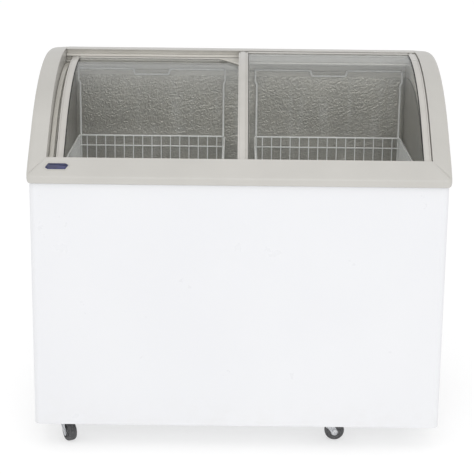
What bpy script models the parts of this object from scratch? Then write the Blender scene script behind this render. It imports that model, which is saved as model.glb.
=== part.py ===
"""Chest freezer with a curved sliding glass top.

Frame: +X to the right hand of someone facing the front, +Y to the rear, +Z up.
The origin is on the floor at the bottom centre of the freezer.  Units are metres.

The side profile of the top is one rule, the crest: a straight flank that rises
from the front fascia, a large arc up to the apex, and a flatter arc behind it.
crest(u, d) gives the point at distance u along that line and d inside it, and
both lids, their tracks, the cheeks and the inner collar are all cut from it.
"""
import math

import bmesh
import bpy
from mathutils import Matrix, Vector

# ---------------------------------------------------------------- dimensions
GAP = 0.0003             # clearance between pieces that touch

BODY_W = 1.010           # white steel cabinet
BODY_D = 0.640
BODY_Z0 = 0.062          # underside of the cabinet
BODY_CORNER = 0.014
SHEET = 0.0015           # steel sheet

COLLAR_W = 1.020         # moulded collar round the glass top
COLLAR_Y = 0.328         # half depth
COLLAR_Z0 = 0.680
CHEEK_IN = 0.465         # inner face of a cheek
LIP_Z = 0.698            # top of the upright front lip
FASCIA_EDGE_Y = -0.2897  # top edge of the sloping fascia
CROWN_SLOPE = 0.060      # outward fall of a cheek's top band
CROWN_EDGE_X = 0.494     # where the band begins to round over
CROWN_EDGE_DROP = 0.0055
CURL = 0.006             # rounded lower edge of the collar
SKIN = 0.0022            # moulding thickness of the deck and the upright lip
SLOPE_SKIN = 0.0016      # moulding thickness of the sloping fascia

APEX_Y = 0.140           # highest line of the crest
APEX_Z = 0.9375
CROWN_R = 0.535
REAR_R = 0.900
FLANK = math.radians(41.0)
DECK_Y = 0.165           # front edge of the rear deck

WALL = 0.053             # cabinet wall, steel to liner
LINER_X = 0.452          # inside of the liner
LINER_Y0 = -0.265
LINER_Y1 = 0.262
LINER_Z0 = 0.122
LINER_T = 0.0015
STEP_X = 0.190           # the liner steps up over the compressor
STEP_Z = 0.390
LINER_TOP_D = 0.075      # liner top edge, below the crest
LEDGE_Z = 0.868          # ledge that the baskets hang on at the back
FRONT_LEDGE_Z = 0.6850   # and at the front

UPPER_D = (0.003, 0.013)  # upper lid, depth below the crest
LOWER_D = (0.020, 0.030)  # lower lid
GLASS_T = 0.004
LID_U0 = -0.113          # front end of both lids
LID_U1 = 0.420           # rear end
RAIL_U = 0.011           # width of a lid's front rail
REAR_RAIL_U = 0.032
UPPER_X = (-0.005, 0.463)
LOWER_X = (-0.445, 0.023)
STILE = 0.018
MEETING = 0.025

BASKET_X = (0.039, 0.445)
BASKET_Y = (-0.240, 0.246)
BASKET_Z = (0.445, 0.6900)
BASKET_TOP = 0.8712      # axis of the tall hoop's top wire
WIRE = 0.005

WHEEL_R = 0.025
WHEEL_W = 0.022
TRAIL = 0.025
CASTERS = (              # name, swivel axis x, y, trail direction
    ("front_left", -0.436, -0.250, math.radians(-60.0)),
    ("front_right", 0.225, -0.245, 0.0),
    ("rear_left", -0.436, 0.250, math.radians(75.0)),
    ("rear_right", 0.436, 0.250, math.radians(140.0)),
)

COMP = (0.372, 0.080)    # compressor axis
COMP_R = 0.075
COMP_Z = (0.0745, 0.262)
BAY_X = 0.240            # compressor bay in the insulation
BAY_Z = 0.330
KNOB = (0.455, 0.372)    # thermostat on the back, x and z
GLAND = (0.470, 0.078)
DRAIN = (-0.380, 0.120)

# ---------------------------------------------------------------- start clean
for thing in list(bpy.data.objects):
    bpy.data.objects.remove(thing, do_unlink=True)

freezer = bpy.data.collections.new("chest_freezer")
bpy.context.scene.collection.children.link(freezer)
cutters = bpy.data.collections.new("cutters")
bpy.context.scene.collection.children.link(cutters)


def material(name, colour, roughness, metallic=0.0, transmission=0.0):
    mat = bpy.data.materials.new(name)
    mat.use_nodes = True
    shader = mat.node_tree.nodes["Principled BSDF"]
    shader.inputs["Base Color"].default_value = (*colour, 1.0)
    shader.inputs["Roughness"].default_value = roughness
    shader.inputs["Metallic"].default_value = metallic
    shader.inputs["Transmission Weight"].default_value = transmission
    mat.diffuse_color = (*colour, 1.0)
    return mat


WHITE = material("cabinet_white", (0.88, 0.88, 0.90), 0.28)
GREY = material("collar_grey", (0.62, 0.60, 0.57), 0.42)
INNER = material("inner_grey", (0.50, 0.50, 0.48), 0.5)
GLASS = material("glass", (0.93, 0.97, 0.96), 0.03, 0.0, 1.0)
ALU = material("stucco_aluminium", (0.72, 0.72, 0.73), 0.38, 1.0)
ZINC = material("zinc", (0.66, 0.66, 0.67), 0.35, 1.0)
WIREMAT = material("coated_wire", (0.90, 0.90, 0.89), 0.35)
TYRE = material("wheel_grey", (0.09, 0.09, 0.10), 0.6)
BLACK = material("black_steel", (0.02, 0.02, 0.022), 0.35)
PLASTIC = material("dark_plastic", (0.05, 0.05, 0.055), 0.5)
INDIGO = material("display_indigo", (0.035, 0.045, 0.22), 0.12)
COPPER = material("copper", (0.80, 0.42, 0.28), 0.3, 1.0)
FOAM = material("foam", (0.86, 0.78, 0.52), 0.9)
RUBBER = material("rubber", (0.04, 0.04, 0.04), 0.8)


# ---------------------------------------------------------------- helpers
def copy_material(mat, name):
    own = mat.copy()
    own.name = "mat_" + name
    return own


def add(name, mesh, mat, collection=freezer, smooth=False):
    obj = bpy.data.objects.new(name, mesh)
    collection.objects.link(obj)
    if mat is not None:
        mesh.materials.clear()
        mesh.materials.append(copy_material(mat, name))
    if smooth:
        mesh.shade_smooth()
        mesh.set_sharp_from_angle(angle=math.radians(35))
    return obj


def hide(obj):
    """Marks an object as a cutter."""
    obj.hide_render = True
    obj.display_type = "WIRE"
    for collection in list(obj.users_collection):
        collection.objects.unlink(obj)
    cutters.objects.link(obj)
    return obj


def solid_from_curve(obj):
    """Turns a curve object into a welded mesh object that stands in its place."""
    bpy.context.view_layer.update()
    graph = bpy.context.evaluated_depsgraph_get()
    mesh = bpy.data.meshes.new_from_object(obj.evaluated_get(graph))
    mesh.name = obj.name + "_mesh"
    bm = bmesh.new()
    bm.from_mesh(mesh)
    bmesh.ops.remove_doubles(bm, verts=bm.verts, dist=0.00001)
    bmesh.ops.dissolve_degenerate(bm, edges=bm.edges, dist=0.000001)
    bmesh.ops.recalc_face_normals(bm, faces=bm.faces)
    bm.to_mesh(mesh)
    bm.free()
    place = obj.matrix_world.copy()
    name = obj.name
    bpy.data.objects.remove(obj, do_unlink=True)
    new = bpy.data.objects.new(name, mesh)
    freezer.objects.link(new)
    new.matrix_world = place
    return new


def outline(name, points, thickness, matrix, mat=None):
    """A flat outline of given thickness, centred on the plane of the matrix."""
    curve = bpy.data.curves.new(name, "CURVE")
    curve.dimensions = "2D"
    curve.fill_mode = "BOTH"
    curve.extrude = thickness / 2
    spline = curve.splines.new("POLY")
    spline.points.add(len(points) - 1)
    for point, (a, b) in zip(spline.points, points):
        point.co = (a, b, 0.0, 1.0)
    spline.use_cyclic_u = True
    obj = bpy.data.objects.new(name, curve)
    freezer.objects.link(obj)
    obj.matrix_world = matrix
    obj = solid_from_curve(obj)
    if mat is not None:
        obj.data.materials.clear()
        obj.data.materials.append(copy_material(mat, name))
    return obj


def side_outline(name, points, x0, x1, mat=None):
    """Points are (y, z); the outline runs from x0 to x1."""
    turn = Matrix.Rotation(math.pi / 2, 4, "Z") @ Matrix.Rotation(math.pi / 2, 4, "X")
    return outline(name, points, abs(x1 - x0), Matrix.Translation(((x0 + x1) / 2, 0, 0)) @ turn, mat)


def front_outline(name, points, y0, y1, mat=None):
    """Points are (x, z); the outline runs from y0 to y1."""
    turn = Matrix.Rotation(math.pi / 2, 4, "X")
    return outline(name, points, abs(y1 - y0), Matrix.Translation((0, (y0 + y1) / 2, 0)) @ turn, mat)


def plan_outline(name, points, z0, z1, mat=None):
    """Points are (x, y); the outline runs from z0 to z1."""
    return outline(name, points, abs(z1 - z0), Matrix.Translation((0, 0, (z0 + z1) / 2)), mat)


def box(name, x, y, z, mat=None):
    mesh = bpy.data.meshes.new(name)
    bm = bmesh.new()
    bmesh.ops.create_cube(bm, size=1.0)
    bmesh.ops.scale(bm, verts=bm.verts, vec=(x[1] - x[0], y[1] - y[0], z[1] - z[0]))
    bm.to_mesh(mesh)
    bm.free()
    obj = add(name, mesh, mat)
    obj.location = ((x[0] + x[1]) / 2, (y[0] + y[1]) / 2, (z[0] + z[1]) / 2)
    return obj


def rod(name, radius, start, end, sides=24, mat=None):
    """A straight round bar between two points."""
    a, b = Vector(start), Vector(end)
    mesh = bpy.data.meshes.new(name)
    bm = bmesh.new()
    bmesh.ops.create_cone(bm, cap_ends=True, segments=sides, radius1=radius, radius2=radius,
                          depth=(b - a).length)
    bm.to_mesh(mesh)
    bm.free()
    obj = add(name, mesh, mat, smooth=True)
    obj.location = (a + b) / 2
    obj.rotation_mode = "QUATERNION"
    obj.rotation_quaternion = (b - a).to_track_quat("Z", "Y")
    return obj


def turned(name, profile, mat, steps=24):
    """A turned piece: profile points (radius, height) run down the outer side."""
    mesh = bpy.data.meshes.new(name)
    bm = bmesh.new()
    verts = [bm.verts.new((r, 0.0, z)) for r, z in profile]
    for a, b in zip(verts, verts[1:]):
        bm.edges.new((a, b))
    if profile[0][0] > 0.0:
        bm.edges.new((verts[-1], verts[0]))
    bm.to_mesh(mesh)
    bm.free()
    obj = add(name, mesh, mat)
    screw = obj.modifiers.new("turn", "SCREW")
    screw.steps = steps
    screw.render_steps = steps
    screw.use_merge_vertices = True
    screw.merge_threshold = 0.00001
    screw.use_smooth_shade = True
    return obj


def tube(name, points, radius, mat, sides=2):
    """A wire or pipe through the points, with filled ends, as a welded mesh."""
    curve = bpy.data.curves.new(name, "CURVE")
    curve.dimensions = "3D"
    curve.bevel_depth = radius
    curve.bevel_resolution = sides
    curve.use_fill_caps = True
    spline = curve.splines.new("POLY")
    spline.points.add(len(points) - 1)
    for point, co in zip(spline.points, points):
        point.co = (*co, 1.0)
    obj = bpy.data.objects.new(name, curve)
    freezer.objects.link(obj)
    obj = solid_from_curve(obj)
    if mat is not None:
        obj.data.materials.clear()
        obj.data.materials.append(copy_material(mat, name))
        obj.data.shade_smooth()
    return obj


def modify(obj, cutter, operation="DIFFERENCE"):
    mod = obj.modifiers.new(operation.lower(), "BOOLEAN")
    mod.operation = operation
    mod.solver = "EXACT"
    mod.object = cutter
    hide(cutter)
    return obj


def bevel(obj, width, segments=2, angle=40):
    mod = obj.modifiers.new("bevel", "BEVEL")
    mod.width = width
    mod.segments = segments
    mod.limit_method = "ANGLE"
    mod.angle_limit = math.radians(angle)
    return obj


def round_path(points, radius, steps=3):
    """Replaces the inner corners of a path of 3-D points by short arcs."""
    pts = [Vector(p) for p in points]
    path = [pts[0]]
    for before, here, after in zip(pts, pts[1:], pts[2:]):
        a, b = (before - here).normalized(), (after - here).normalized()
        angle = a.angle(b)
        cut = min(radius / math.tan(angle / 2), (before - here).length * 0.49, (after - here).length * 0.49)
        start, end = here + a * cut, here + b * cut
        for i in range(steps + 1):
            t = i / steps
            path.append(start * (1 - t) ** 2 + here * 2 * t * (1 - t) + end * t ** 2)
    path.append(pts[-1])
    return path


# ---------------------------------------------------------------- the crest
TAN = (APEX_Y - CROWN_R * math.sin(FLANK), APEX_Z - CROWN_R * (1 - math.cos(FLANK)))
ARC_U = CROWN_R * FLANK
ARC_STEPS = 9
REAR_STEPS = 3
REAR_END = 0.215


def break_points():
    """Distances along the crest where its facets meet."""
    marks = [-0.200, 0.0]
    marks += [ARC_U * i / ARC_STEPS for i in range(1, ARC_STEPS + 1)]
    marks += [ARC_U + REAR_END * i / REAR_STEPS for i in range(1, REAR_STEPS + 1)]
    return marks


BREAKS = break_points()


def true_crest(u, d):
    if u <= 0.0:
        return (TAN[0] + u * math.cos(FLANK) + d * math.sin(FLANK),
                TAN[1] + u * math.sin(FLANK) - d * math.cos(FLANK))
    if u <= ARC_U:
        a = FLANK - u / CROWN_R
        return (APEX_Y - (CROWN_R - d) * math.sin(a), APEX_Z - CROWN_R + (CROWN_R - d) * math.cos(a))
    a = (u - ARC_U) / REAR_R
    return (APEX_Y + (REAR_R - d) * math.sin(a), APEX_Z - REAR_R + (REAR_R - d) * math.cos(a))


def crest(u, d=0.0):
    """The faceted crest, so that every piece cut from it keeps its clearance."""
    for low, high in zip(BREAKS, BREAKS[1:]):
        if u <= high:
            t = (u - low) / (high - low)
            a, b = true_crest(low, d), true_crest(high, d)
            return (a[0] + (b[0] - a[0]) * t, a[1] + (b[1] - a[1]) * t)
    return true_crest(u, d)


def along(u0, u1):
    return [u0] + [u for u in BREAKS if u0 + 1e-6 < u < u1 - 1e-6] + [u1]


def strip(u0, u1, d0, d1):
    """Outline of a layer of the crest from u0 to u1 and from depth d0 to d1."""
    marks = along(u0, u1)
    return [crest(u, d0) for u in marks] + [crest(u, d1) for u in reversed(marks)]


def u_at_y(y, d=0.0):
    """Distance along the crest at which it reaches y."""
    low, high = BREAKS[0], BREAKS[-1]
    for _ in range(60):
        mid = (low + high) / 2
        if crest(mid, d)[0] < y:
            low = mid
        else:
            high = mid
    return (low + high) / 2


EDGE_U = u_at_y(FASCIA_EDGE_Y)
EDGE = crest(EDGE_U)
FASCIA_SLOPE = (EDGE[1] - LIP_Z) / (EDGE[0] + COLLAR_Y)


def crown_drop(x):
    """How far the cheek's top band lies below the crest at x."""
    x = abs(x)
    drop = CROWN_SLOPE * max(0.0, min(x, CROWN_EDGE_X) - CHEEK_IN)
    if x > CROWN_EDGE_X:
        t = min(1.0, (x - CROWN_EDGE_X) / (COLLAR_W / 2 - CROWN_EDGE_X))
        drop += CROWN_EDGE_DROP * (1 - math.sqrt(max(0.0, 1 - t * t)))
    return drop


def corner_pull(x, radius=0.012):
    """How far the upright corner of the collar is drawn back at x."""
    over = abs(x) - (COLLAR_W / 2 - radius)
    return 0.0 if over <= 0 else radius - math.sqrt(max(0.0, radius * radius - over * over))


def cheek_ring(x, inset, low):
    """Side outline of a cheek at x, drawn in by inset, down to height low."""
    pull = corner_pull(x) + inset
    drop = crown_drop(x) + inset
    front = -COLLAR_Y + pull
    # the crease between the fascia's slope and the band
    offset = drop / math.cos(FLANK)
    fall = inset * math.sqrt(1 + FASCIA_SLOPE ** 2)
    y = EDGE[0] - (offset - fall) / (FASCIA_SLOPE - math.tan(FLANK))
    y = max(y, front + 0.001)
    crease = (y, EDGE[1] + FASCIA_SLOPE * (y - EDGE[0]) - fall)
    lip = (front, min(LIP_Z + FASCIA_SLOPE * pull - fall, crease[1] - 0.0005))
    ring = [lip, crease]
    start = u_at_y(y, drop)
    marks = [u for u in BREAKS if -0.0001 < u < REAR_END + ARC_U]
    ring += [crest(u, drop) for u in marks if crest(u, drop)[0] < COLLAR_Y - 0.030]
    rear = COLLAR_Y - pull
    top = crest(u_at_y(COLLAR_Y - 0.012, drop), drop)
    ring += [top, (rear - 0.003, top[1] - 0.004), (rear, top[1] - 0.012)]
    ring += [(rear, low + (CURL if inset == 0 else 0))]
    if inset == 0:
        side = max(0.0, abs(x) - (COLLAR_W / 2 - 0.005)) / 0.005
        ring += [(rear - 0.005 * (1 - side), low + CURL * side)]
        ring += [(front + 0.005 * (1 - side), low + CURL * side), (front, low + CURL)]
    else:
        ring += [(rear - 0.001, low), (front + 0.001, low), (front, low + 0.001)]
    assert start < 0.0
    return ring


def loft(name, rings, mat=None):
    """A closed solid through rings of equal point count."""
    mesh = bpy.data.meshes.new(name)
    bm = bmesh.new()
    rows = [[bm.verts.new(p) for p in ring] for ring in rings]
    for a, b in zip(rows, rows[1:]):
        for i in range(len(a)):
            j = (i + 1) % len(a)
            bm.faces.new((a[i], a[j], b[j], b[i]))
    bm.faces.new(list(reversed(rows[0])))
    bm.faces.new(rows[-1])
    bmesh.ops.remove_doubles(bm, verts=bm.verts, dist=0.00002)
    bmesh.ops.dissolve_degenerate(bm, edges=bm.edges, dist=0.00001)
    bmesh.ops.recalc_face_normals(bm, faces=bm.faces)
    bm.to_mesh(mesh)
    bm.free()
    return add(name, mesh, mat)


def mitre_cutter(name, side, keep_front):
    """A prism on one side of the upright mitre plane at a front corner."""
    inner = Vector((CHEEK_IN - GAP / 2, FASCIA_EDGE_Y))
    along_it = Vector((COLLAR_W / 2 + 0.020, -0.3395)) - inner
    normal = Vector((along_it.y, -along_it.x)).normalized()   # towards the front
    shift = normal * (GAP / 2) * (1 if keep_front else -1)
    a, b = inner + shift, inner + along_it + shift
    if keep_front:    # removes what is behind the plane
        points = [a, b, Vector((b.x, 0.40)), Vector((a.x, 0.40))]
    else:             # removes what is in front of the plane
        points = [a, b, Vector((b.x, -0.40)), Vector((a.x - 0.03, -0.40)), Vector((a.x - 0.03, a.y))]
    points = [(p.x * side, p.y) for p in points]
    return hide(plan_outline(name, points, 0.600, 1.000))


# ---------------------------------------------------------------- cabinet
def rounded_u(half_w, front, rear, radius, steps=4):
    """Plan path of the wrap: up one side, round the front and back the other."""
    path = [(-half_w, rear)]
    for i in range(steps + 1):
        a = math.pi + math.pi / 2 * i / steps
        path.append((-half_w + radius + radius * math.cos(a), front + radius + radius * math.sin(a)))
    for i in range(steps + 1):
        a = 1.5 * math.pi + math.pi / 2 * i / steps
        path.append((half_w - radius + radius * math.cos(a), front + radius + radius * math.sin(a)))
    path.append((half_w, rear))
    return path


half = BODY_W / 2
outer = rounded_u(half, -BODY_D / 2, BODY_D / 2, BODY_CORNER)
inner = rounded_u(half - SHEET, -BODY_D / 2 + SHEET, BODY_D / 2, BODY_CORNER - SHEET)
shell = plan_outline("outer_shell", outer + list(reversed(inner)), BODY_Z0, COLLAR_Z0 + 0.008, WHITE)
vent = box("side_vent_cutter", (0.49, 0.52), (-0.060, 0.200), (0.100, 0.280))
modify(shell, vent)

panel_x = half - SHEET - GAP
panel = box("rear_panel", (-panel_x, panel_x), (BODY_D / 2 - SHEET, BODY_D / 2), (BODY_Z0, COLLAR_Z0 - GAP), WHITE)
upper_back = box("rear_upper_cutter", (-CHEEK_IN + 2 * GAP, CHEEK_IN - 2 * GAP),
                 (BODY_D / 2 - SHEET, BODY_D / 2), (COLLAR_Z0 - 0.02, 0.880))
modify(panel, upper_back, "UNION")
modify(panel, box("rear_vent_cutter", (0.262, 0.478), (0.30, 0.34), (0.098, 0.302)))

base_y = BODY_D / 2 - SHEET - GAP
base = plan_outline("base_pan", rounded_u(panel_x, -base_y, base_y, BODY_CORNER - SHEET - GAP),
                    BODY_Z0, BODY_Z0 + 0.012, ZINC)
modify(base, plan_outline("base_cutter", rounded_u(panel_x - 0.002, -base_y + 0.002, base_y - 0.002,
                                                   BODY_CORNER - SHEET - GAP - 0.002),
                          BODY_Z0 + 0.002, BODY_Z0 + 0.05))
drain_hole = rod("drain_base_cutter", 0.0135, (DRAIN[0], DRAIN[1], 0.02), (DRAIN[0], DRAIN[1], 0.30))
modify(base, drain_hole)

# insulation: a block round the liner, with the compressor bay cut from it
foam_y1 = base_y - 0.0015
foam = side_outline("foam_insulation", [(-0.309, 0.0745), (foam_y1, 0.0745), (foam_y1, 0.872), (0.2715, 0.872),
                                        (0.2715, 0.6785), (-0.309, 0.6785)], -0.494, 0.494, FOAM)
for side in (-1, 1):
    xs = sorted((side * 0.4635, side * 0.60))
    modify(foam, box("foam_shoulder_cutter_%d" % side, xs, (-0.40, 0.40), (0.6785, 0.95)))
SPACE = 0.0075           # evaporator space between the foam and the liner
well = side_outline("foam_well_cutter", [(LINER_Y0 - LINER_T - SPACE, LINER_Z0 - LINER_T - GAP),
                                         (LINER_Y1 + LINER_T + SPACE, LINER_Z0 - LINER_T - GAP),
                                         (LINER_Y1 + LINER_T + SPACE, 0.95),
                                         (LINER_Y0 - LINER_T - SPACE, 0.95)],
                    -LINER_X - LINER_T - SPACE, LINER_X + LINER_T + SPACE)
modify(well, box("foam_step_cutter", (STEP_X + LINER_T + GAP, 0.60), (-0.40, 0.40), (0.0, STEP_Z - LINER_T - GAP)))
modify(foam, well)
modify(foam, box("foam_throat_cutter", (-CHEEK_IN - 2 * GAP, CHEEK_IN + 2 * GAP), (-0.2745, 0.2712), (0.648, 0.95)))
modify(foam, box("bay_cutter", (BAY_X, 0.60), (-0.270, 0.40), (0.0, BAY_Z)))
modify(foam, rod("drain_foam_cutter", 0.0135, (DRAIN[0], DRAIN[1], 0.02), (DRAIN[0], DRAIN[1], 0.20)))

# liner: a stepped tub whose rim follows the crest
rim = [crest(u, LINER_TOP_D) for u in along(u_at_y(LINER_Y0 - LINER_T, LINER_TOP_D),
                                            u_at_y(LINER_Y1 + LINER_T, LINER_TOP_D))]
liner = side_outline("inner_liner", [(LINER_Y0 - LINER_T, LINER_Z0 - LINER_T)] + rim +
                     [(LINER_Y1 + LINER_T, LINER_Z0 - LINER_T)], -LINER_X - LINER_T, LINER_X + LINER_T, ALU)
modify(liner, box("liner_step_cutter", (STEP_X + LINER_T, 0.60), (-0.40, 0.40), (0.0, STEP_Z - LINER_T)))
hollow = box("liner_hollow_cutter", (-LINER_X, LINER_X), (LINER_Y0, LINER_Y1), (LINER_Z0, 1.10))
modify(hollow, box("liner_hollow_step_cutter", (STEP_X, 0.60), (-0.40, 0.40), (0.0, STEP_Z)))
modify(liner, hollow)
modify(liner, rod("drain_liner_cutter", 0.011, (DRAIN[0], DRAIN[1], 0.02), (DRAIN[0], DRAIN[1], 0.20)))

drain_tube = turned("drain_tube", [(0.0130, 0.0), (0.0130, -0.0680), (0.0110, -0.0680), (0.0110, 0.0)], PLASTIC)
drain_tube.location = (DRAIN[0], DRAIN[1], LINER_Z0 - LINER_T - GAP)
plug = turned("drain_plug", [(0.0, 0.012), (0.006, 0.012), (0.006, 0.003), (0.0150, 0.003), (0.0150, 0.0),
                             (0.0100, 0.0), (0.0095, -0.012), (0.0, -0.012)], RUBBER)
plug.location = (DRAIN[0], DRAIN[1], LINER_Z0 + GAP)

# evaporator: a pipe wound round the liner, above the step
coil_x, coil_y0, coil_y1 = LINER_X + LINER_T + 0.0035, LINER_Y0 - LINER_T - 0.0035, LINER_Y1 + LINER_T + 0.0035
TURNS, PITCH, COIL_Z = 4, 0.055, 0.420
path = []
for turn in range(TURNS):
    z = COIL_Z + PITCH * turn
    path += [(coil_x, coil_y0, z), (coil_x, coil_y1, z + PITCH * 0.25), (-coil_x, coil_y1, z + PITCH * 0.5),
             (-coil_x, coil_y0, z + PITCH * 0.75)]
path.append((coil_x, coil_y0, COIL_Z + PITCH * TURNS))
tube("evaporator_coil", round_path(path, 0.006, 2), 0.0025, COPPER)

# skin condenser: loops of pipe just inside the steel wrap
skin_x, skin_y = BODY_W / 2 - SHEET - 0.0034, -BODY_D / 2 + SHEET + 0.0034
path, sign = [], 1
for row in range(5):
    z = 0.360 + 0.062 * row
    ends = [(-skin_x, 0.270, z), (-skin_x, skin_y, z), (skin_x, skin_y, z), (skin_x, 0.270, z)]
    path += ends if sign > 0 else list(reversed(ends))
    sign = -sign
tube("condenser_coil", round_path(path, 0.0109, 2), 0.0024, COPPER)

# ---------------------------------------------------------------- collar
STATIONS = (CHEEK_IN, 0.480, CROWN_EDGE_X, 0.4985, 0.5030, 0.5063, 0.5087, 0.5098, 0.5100)
for side, name in ((-1, "left_cheek"), (1, "right_cheek")):
    rings = [[(side * x, y, z) for y, z in cheek_ring(x, 0.0, COLLAR_Z0)] for x in STATIONS]
    cheek = loft(name, rings, GREY)
    inside = [CHEEK_IN + 0.003, 0.480, 0.490, 0.502, 0.5068]
    core = loft(name + "_core_cutter",
                [[(side * x, y, z) for y, z in cheek_ring(x, 0.0035, 0.600)] for x in inside])
    modify(cheek, core)
    modify(cheek, mitre_cutter(name + "_mitre_cutter", side, False))


def fascia_ring(x):
    """Section of the fascia moulding at x, a bent strip of even thickness."""
    pull = corner_pull(x)
    front = -COLLAR_Y + pull
    lift = FASCIA_SLOPE * pull
    side = max(0.0, abs(x) - (COLLAR_W / 2 - 0.005)) / 0.005
    low = COLLAR_Z0 + CURL * side
    run = math.hypot(1.0, FASCIA_SLOPE)
    nose = LIP_Z + lift
    return [
        (front + 0.0055 * (1 - side) + 0.0004, low), (front + 0.0012, COLLAR_Z0 + 0.0035 + 0.0027 * side),
        (front, COLLAR_Z0 + 0.0075), (front, nose - 0.004), (front + 0.0010, nose + 0.0006),
        (front + 0.0045, nose + 0.0045 * FASCIA_SLOPE),
        (EDGE[0] - 0.0010, EDGE[1] - 0.0010 * FASCIA_SLOPE), (EDGE[0], EDGE[1] - 0.0004),
        (EDGE[0] + 0.0004, EDGE[1] + 0.0004 * FASCIA_SLOPE - SLOPE_SKIN * run),
        (front + SKIN + 0.0026, nose + (SKIN + 0.0026) * FASCIA_SLOPE - SLOPE_SKIN * run),
        (front + SKIN, nose - 0.0040),
        (front + SKIN, COLLAR_Z0 + 0.0090), (front + SKIN + 0.0045 - 0.0025 * side, COLLAR_Z0 + 0.0068),
    ]


half_stations = [0.0, 0.450, 0.497, 0.5005, 0.5040, 0.5070, 0.5092, 0.5100]
stations = [-x for x in reversed(half_stations[1:])] + half_stations
fascia = loft("front_fascia", [[(x, y, z) for y, z in fascia_ring(x)] for x in stations], GREY)
modify(fascia, mitre_cutter("fascia_left_cutter", -1, True))
modify(fascia, mitre_cutter("fascia_right_cutter", 1, True))

DECK_U = u_at_y(DECK_Y)
deck_end = crest(u_at_y(COLLAR_Y - 0.010))
deck_marks = along(DECK_U, u_at_y(COLLAR_Y - 0.010))
deck_out = [crest(u, 0.0) for u in deck_marks] + [(COLLAR_Y - 0.003, deck_end[1] - 0.0035),
                                                  (COLLAR_Y, deck_end[1] - 0.010), (COLLAR_Y, 0.884)]
deck_in = [(COLLAR_Y - SKIN, 0.884), (COLLAR_Y - SKIN, deck_end[1] - 0.0105),
           (COLLAR_Y - 0.0045, deck_end[1] - 0.0055)]
deck_in += [crest(u, SKIN) for u in reversed(deck_marks)]
deck_x = CHEEK_IN - GAP
side_outline("rear_deck", deck_out + deck_in, -deck_x, deck_x, GREY)

track_x = CHEEK_IN - 2 * GAP
front_track = [(-0.1205, 0.0040), (-0.1140, 0.0040), (-0.1140, 0.0134), (-0.1010, 0.0134), (-0.1010, 0.0196),
               (-0.1140, 0.0196), (-0.1140, 0.0304), (-0.0940, 0.0304), (-0.0940, 0.0350), (-0.1205, 0.0350)]
side_outline("front_lid_track", [crest(u, d) for u, d in front_track], -track_x, track_x, GREY)
rear_track = [(0.4300, 0.0030), (0.4212, 0.0030), (0.4212, 0.0136), (0.4060, 0.0136), (0.4060, 0.0194),
              (0.4212, 0.0194), (0.4212, 0.0306), (0.4020, 0.0306), (0.4020, 0.0350), (0.4300, 0.0350)]
side_outline("rear_lid_track", [crest(u, d) for u, d in rear_track], -track_x, track_x, GREY)

# inner collar: the moulded throat between the lid tracks and the liner
COL_D0, COL_D1 = 0.0365, LINER_TOP_D - GAP
back_y = LINER_Y1 + 0.0045
front_y = LINER_Y0 - 0.0045
top_marks = along(u_at_y(front_y, COL_D0), u_at_y(back_y, COL_D0))
low_marks = along(u_at_y(front_y, COL_D1), u_at_y(back_y, COL_D1))
throat = [crest(u, COL_D0) for u in top_marks] + [crest(u, COL_D1) for u in reversed(low_marks)]
collar = side_outline("inner_collar", throat, -track_x, track_x, INNER)
modify(collar, box("throat_cutter", (-LINER_X - 0.0015, LINER_X + 0.0015), (LINER_Y0 + 0.0005, LINER_Y1 - 0.0005),
                   (0.60, 1.10)))
modify(collar, box("rear_ledge_cutter", (-LINER_X - 0.003, LINER_X + 0.003), (LINER_Y1 - 0.0082, LINER_Y1 + 0.002),
                   (LEDGE_Z - 0.0040, LEDGE_Z)), "UNION")
modify(collar, box("front_ledge_cutter", (-LINER_X - 0.003, LINER_X + 0.003), (LINER_Y0 - 0.002, LINER_Y0 + 0.0105),
                   (FRONT_LEDGE_Z - 0.0040, FRONT_LEDGE_Z)), "UNION")

# ---------------------------------------------------------------- lids


def lid(name, x, d, left_w, right_w):
    """A curved pane in a frame: two bent stiles, and a front and a rear rail."""
    mid = (d[0] + d[1]) / 2
    pane = (mid - GLASS_T / 2, mid + GLASS_T / 2)
    grip = 0.006
    x_in = (x[0] + left_w, x[1] - right_w)
    glass = side_outline(name + "_glass", strip(LID_U0 + RAIL_U - grip, LID_U1 - REAR_RAIL_U + grip, *pane),
                         x_in[0] - grip, x_in[1] + grip, GLASS)
    made = [glass]
    groove = (pane[0] - GAP, pane[1] + GAP)
    for label, x0, x1, g0, g1 in (
            ("left", x[0], x_in[0], x_in[0] - grip - GAP, x_in[0] + 0.01),
            ("right", x_in[1], x[1], x_in[1] - 0.01, x_in[1] + grip + GAP)):
        stile = side_outline("%s_%s_stile" % (name, label), strip(LID_U0, LID_U1, *d), x0, x1, GREY)
        modify(stile, side_outline("%s_%s_groove_cutter" % (name, label),
                                   strip(LID_U0 + RAIL_U - grip - GAP, LID_U1 - REAR_RAIL_U + grip + GAP, *groove),
                                   g0, g1))
        made.append(stile)
    rail_x = (x_in[0] + GAP, x_in[1] - GAP)
    a, b = LID_U0, LID_U0 + RAIL_U
    g = b - grip - GAP
    made.append(side_outline(name + "_front_rail",
                             [crest(u, v) for u, v in ((a, d[0]), (b, d[0]), (b, groove[0]), (g, groove[0]),
                                                       (g, groove[1]), (b, groove[1]), (b, d[1]), (a, d[1]))],
                             *rail_x, GREY))
    a, b = LID_U1, LID_U1 - REAR_RAIL_U
    g = b + grip + GAP
    made.append(side_outline(name + "_rear_rail",
                             [crest(u, v) for u, v in ((a, d[1]), (b, d[1]), (b, groove[1]), (g, groove[1]),
                                                       (g, groove[0]), (b, groove[0]), (b, d[0]), (a, d[0]))],
                             *rail_x, GREY))
    return made


lower = lid("lower_lid", LOWER_X, LOWER_D, STILE, STILE)
upper = lid("upper_lid", UPPER_X, UPPER_D, MEETING, STILE)

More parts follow.
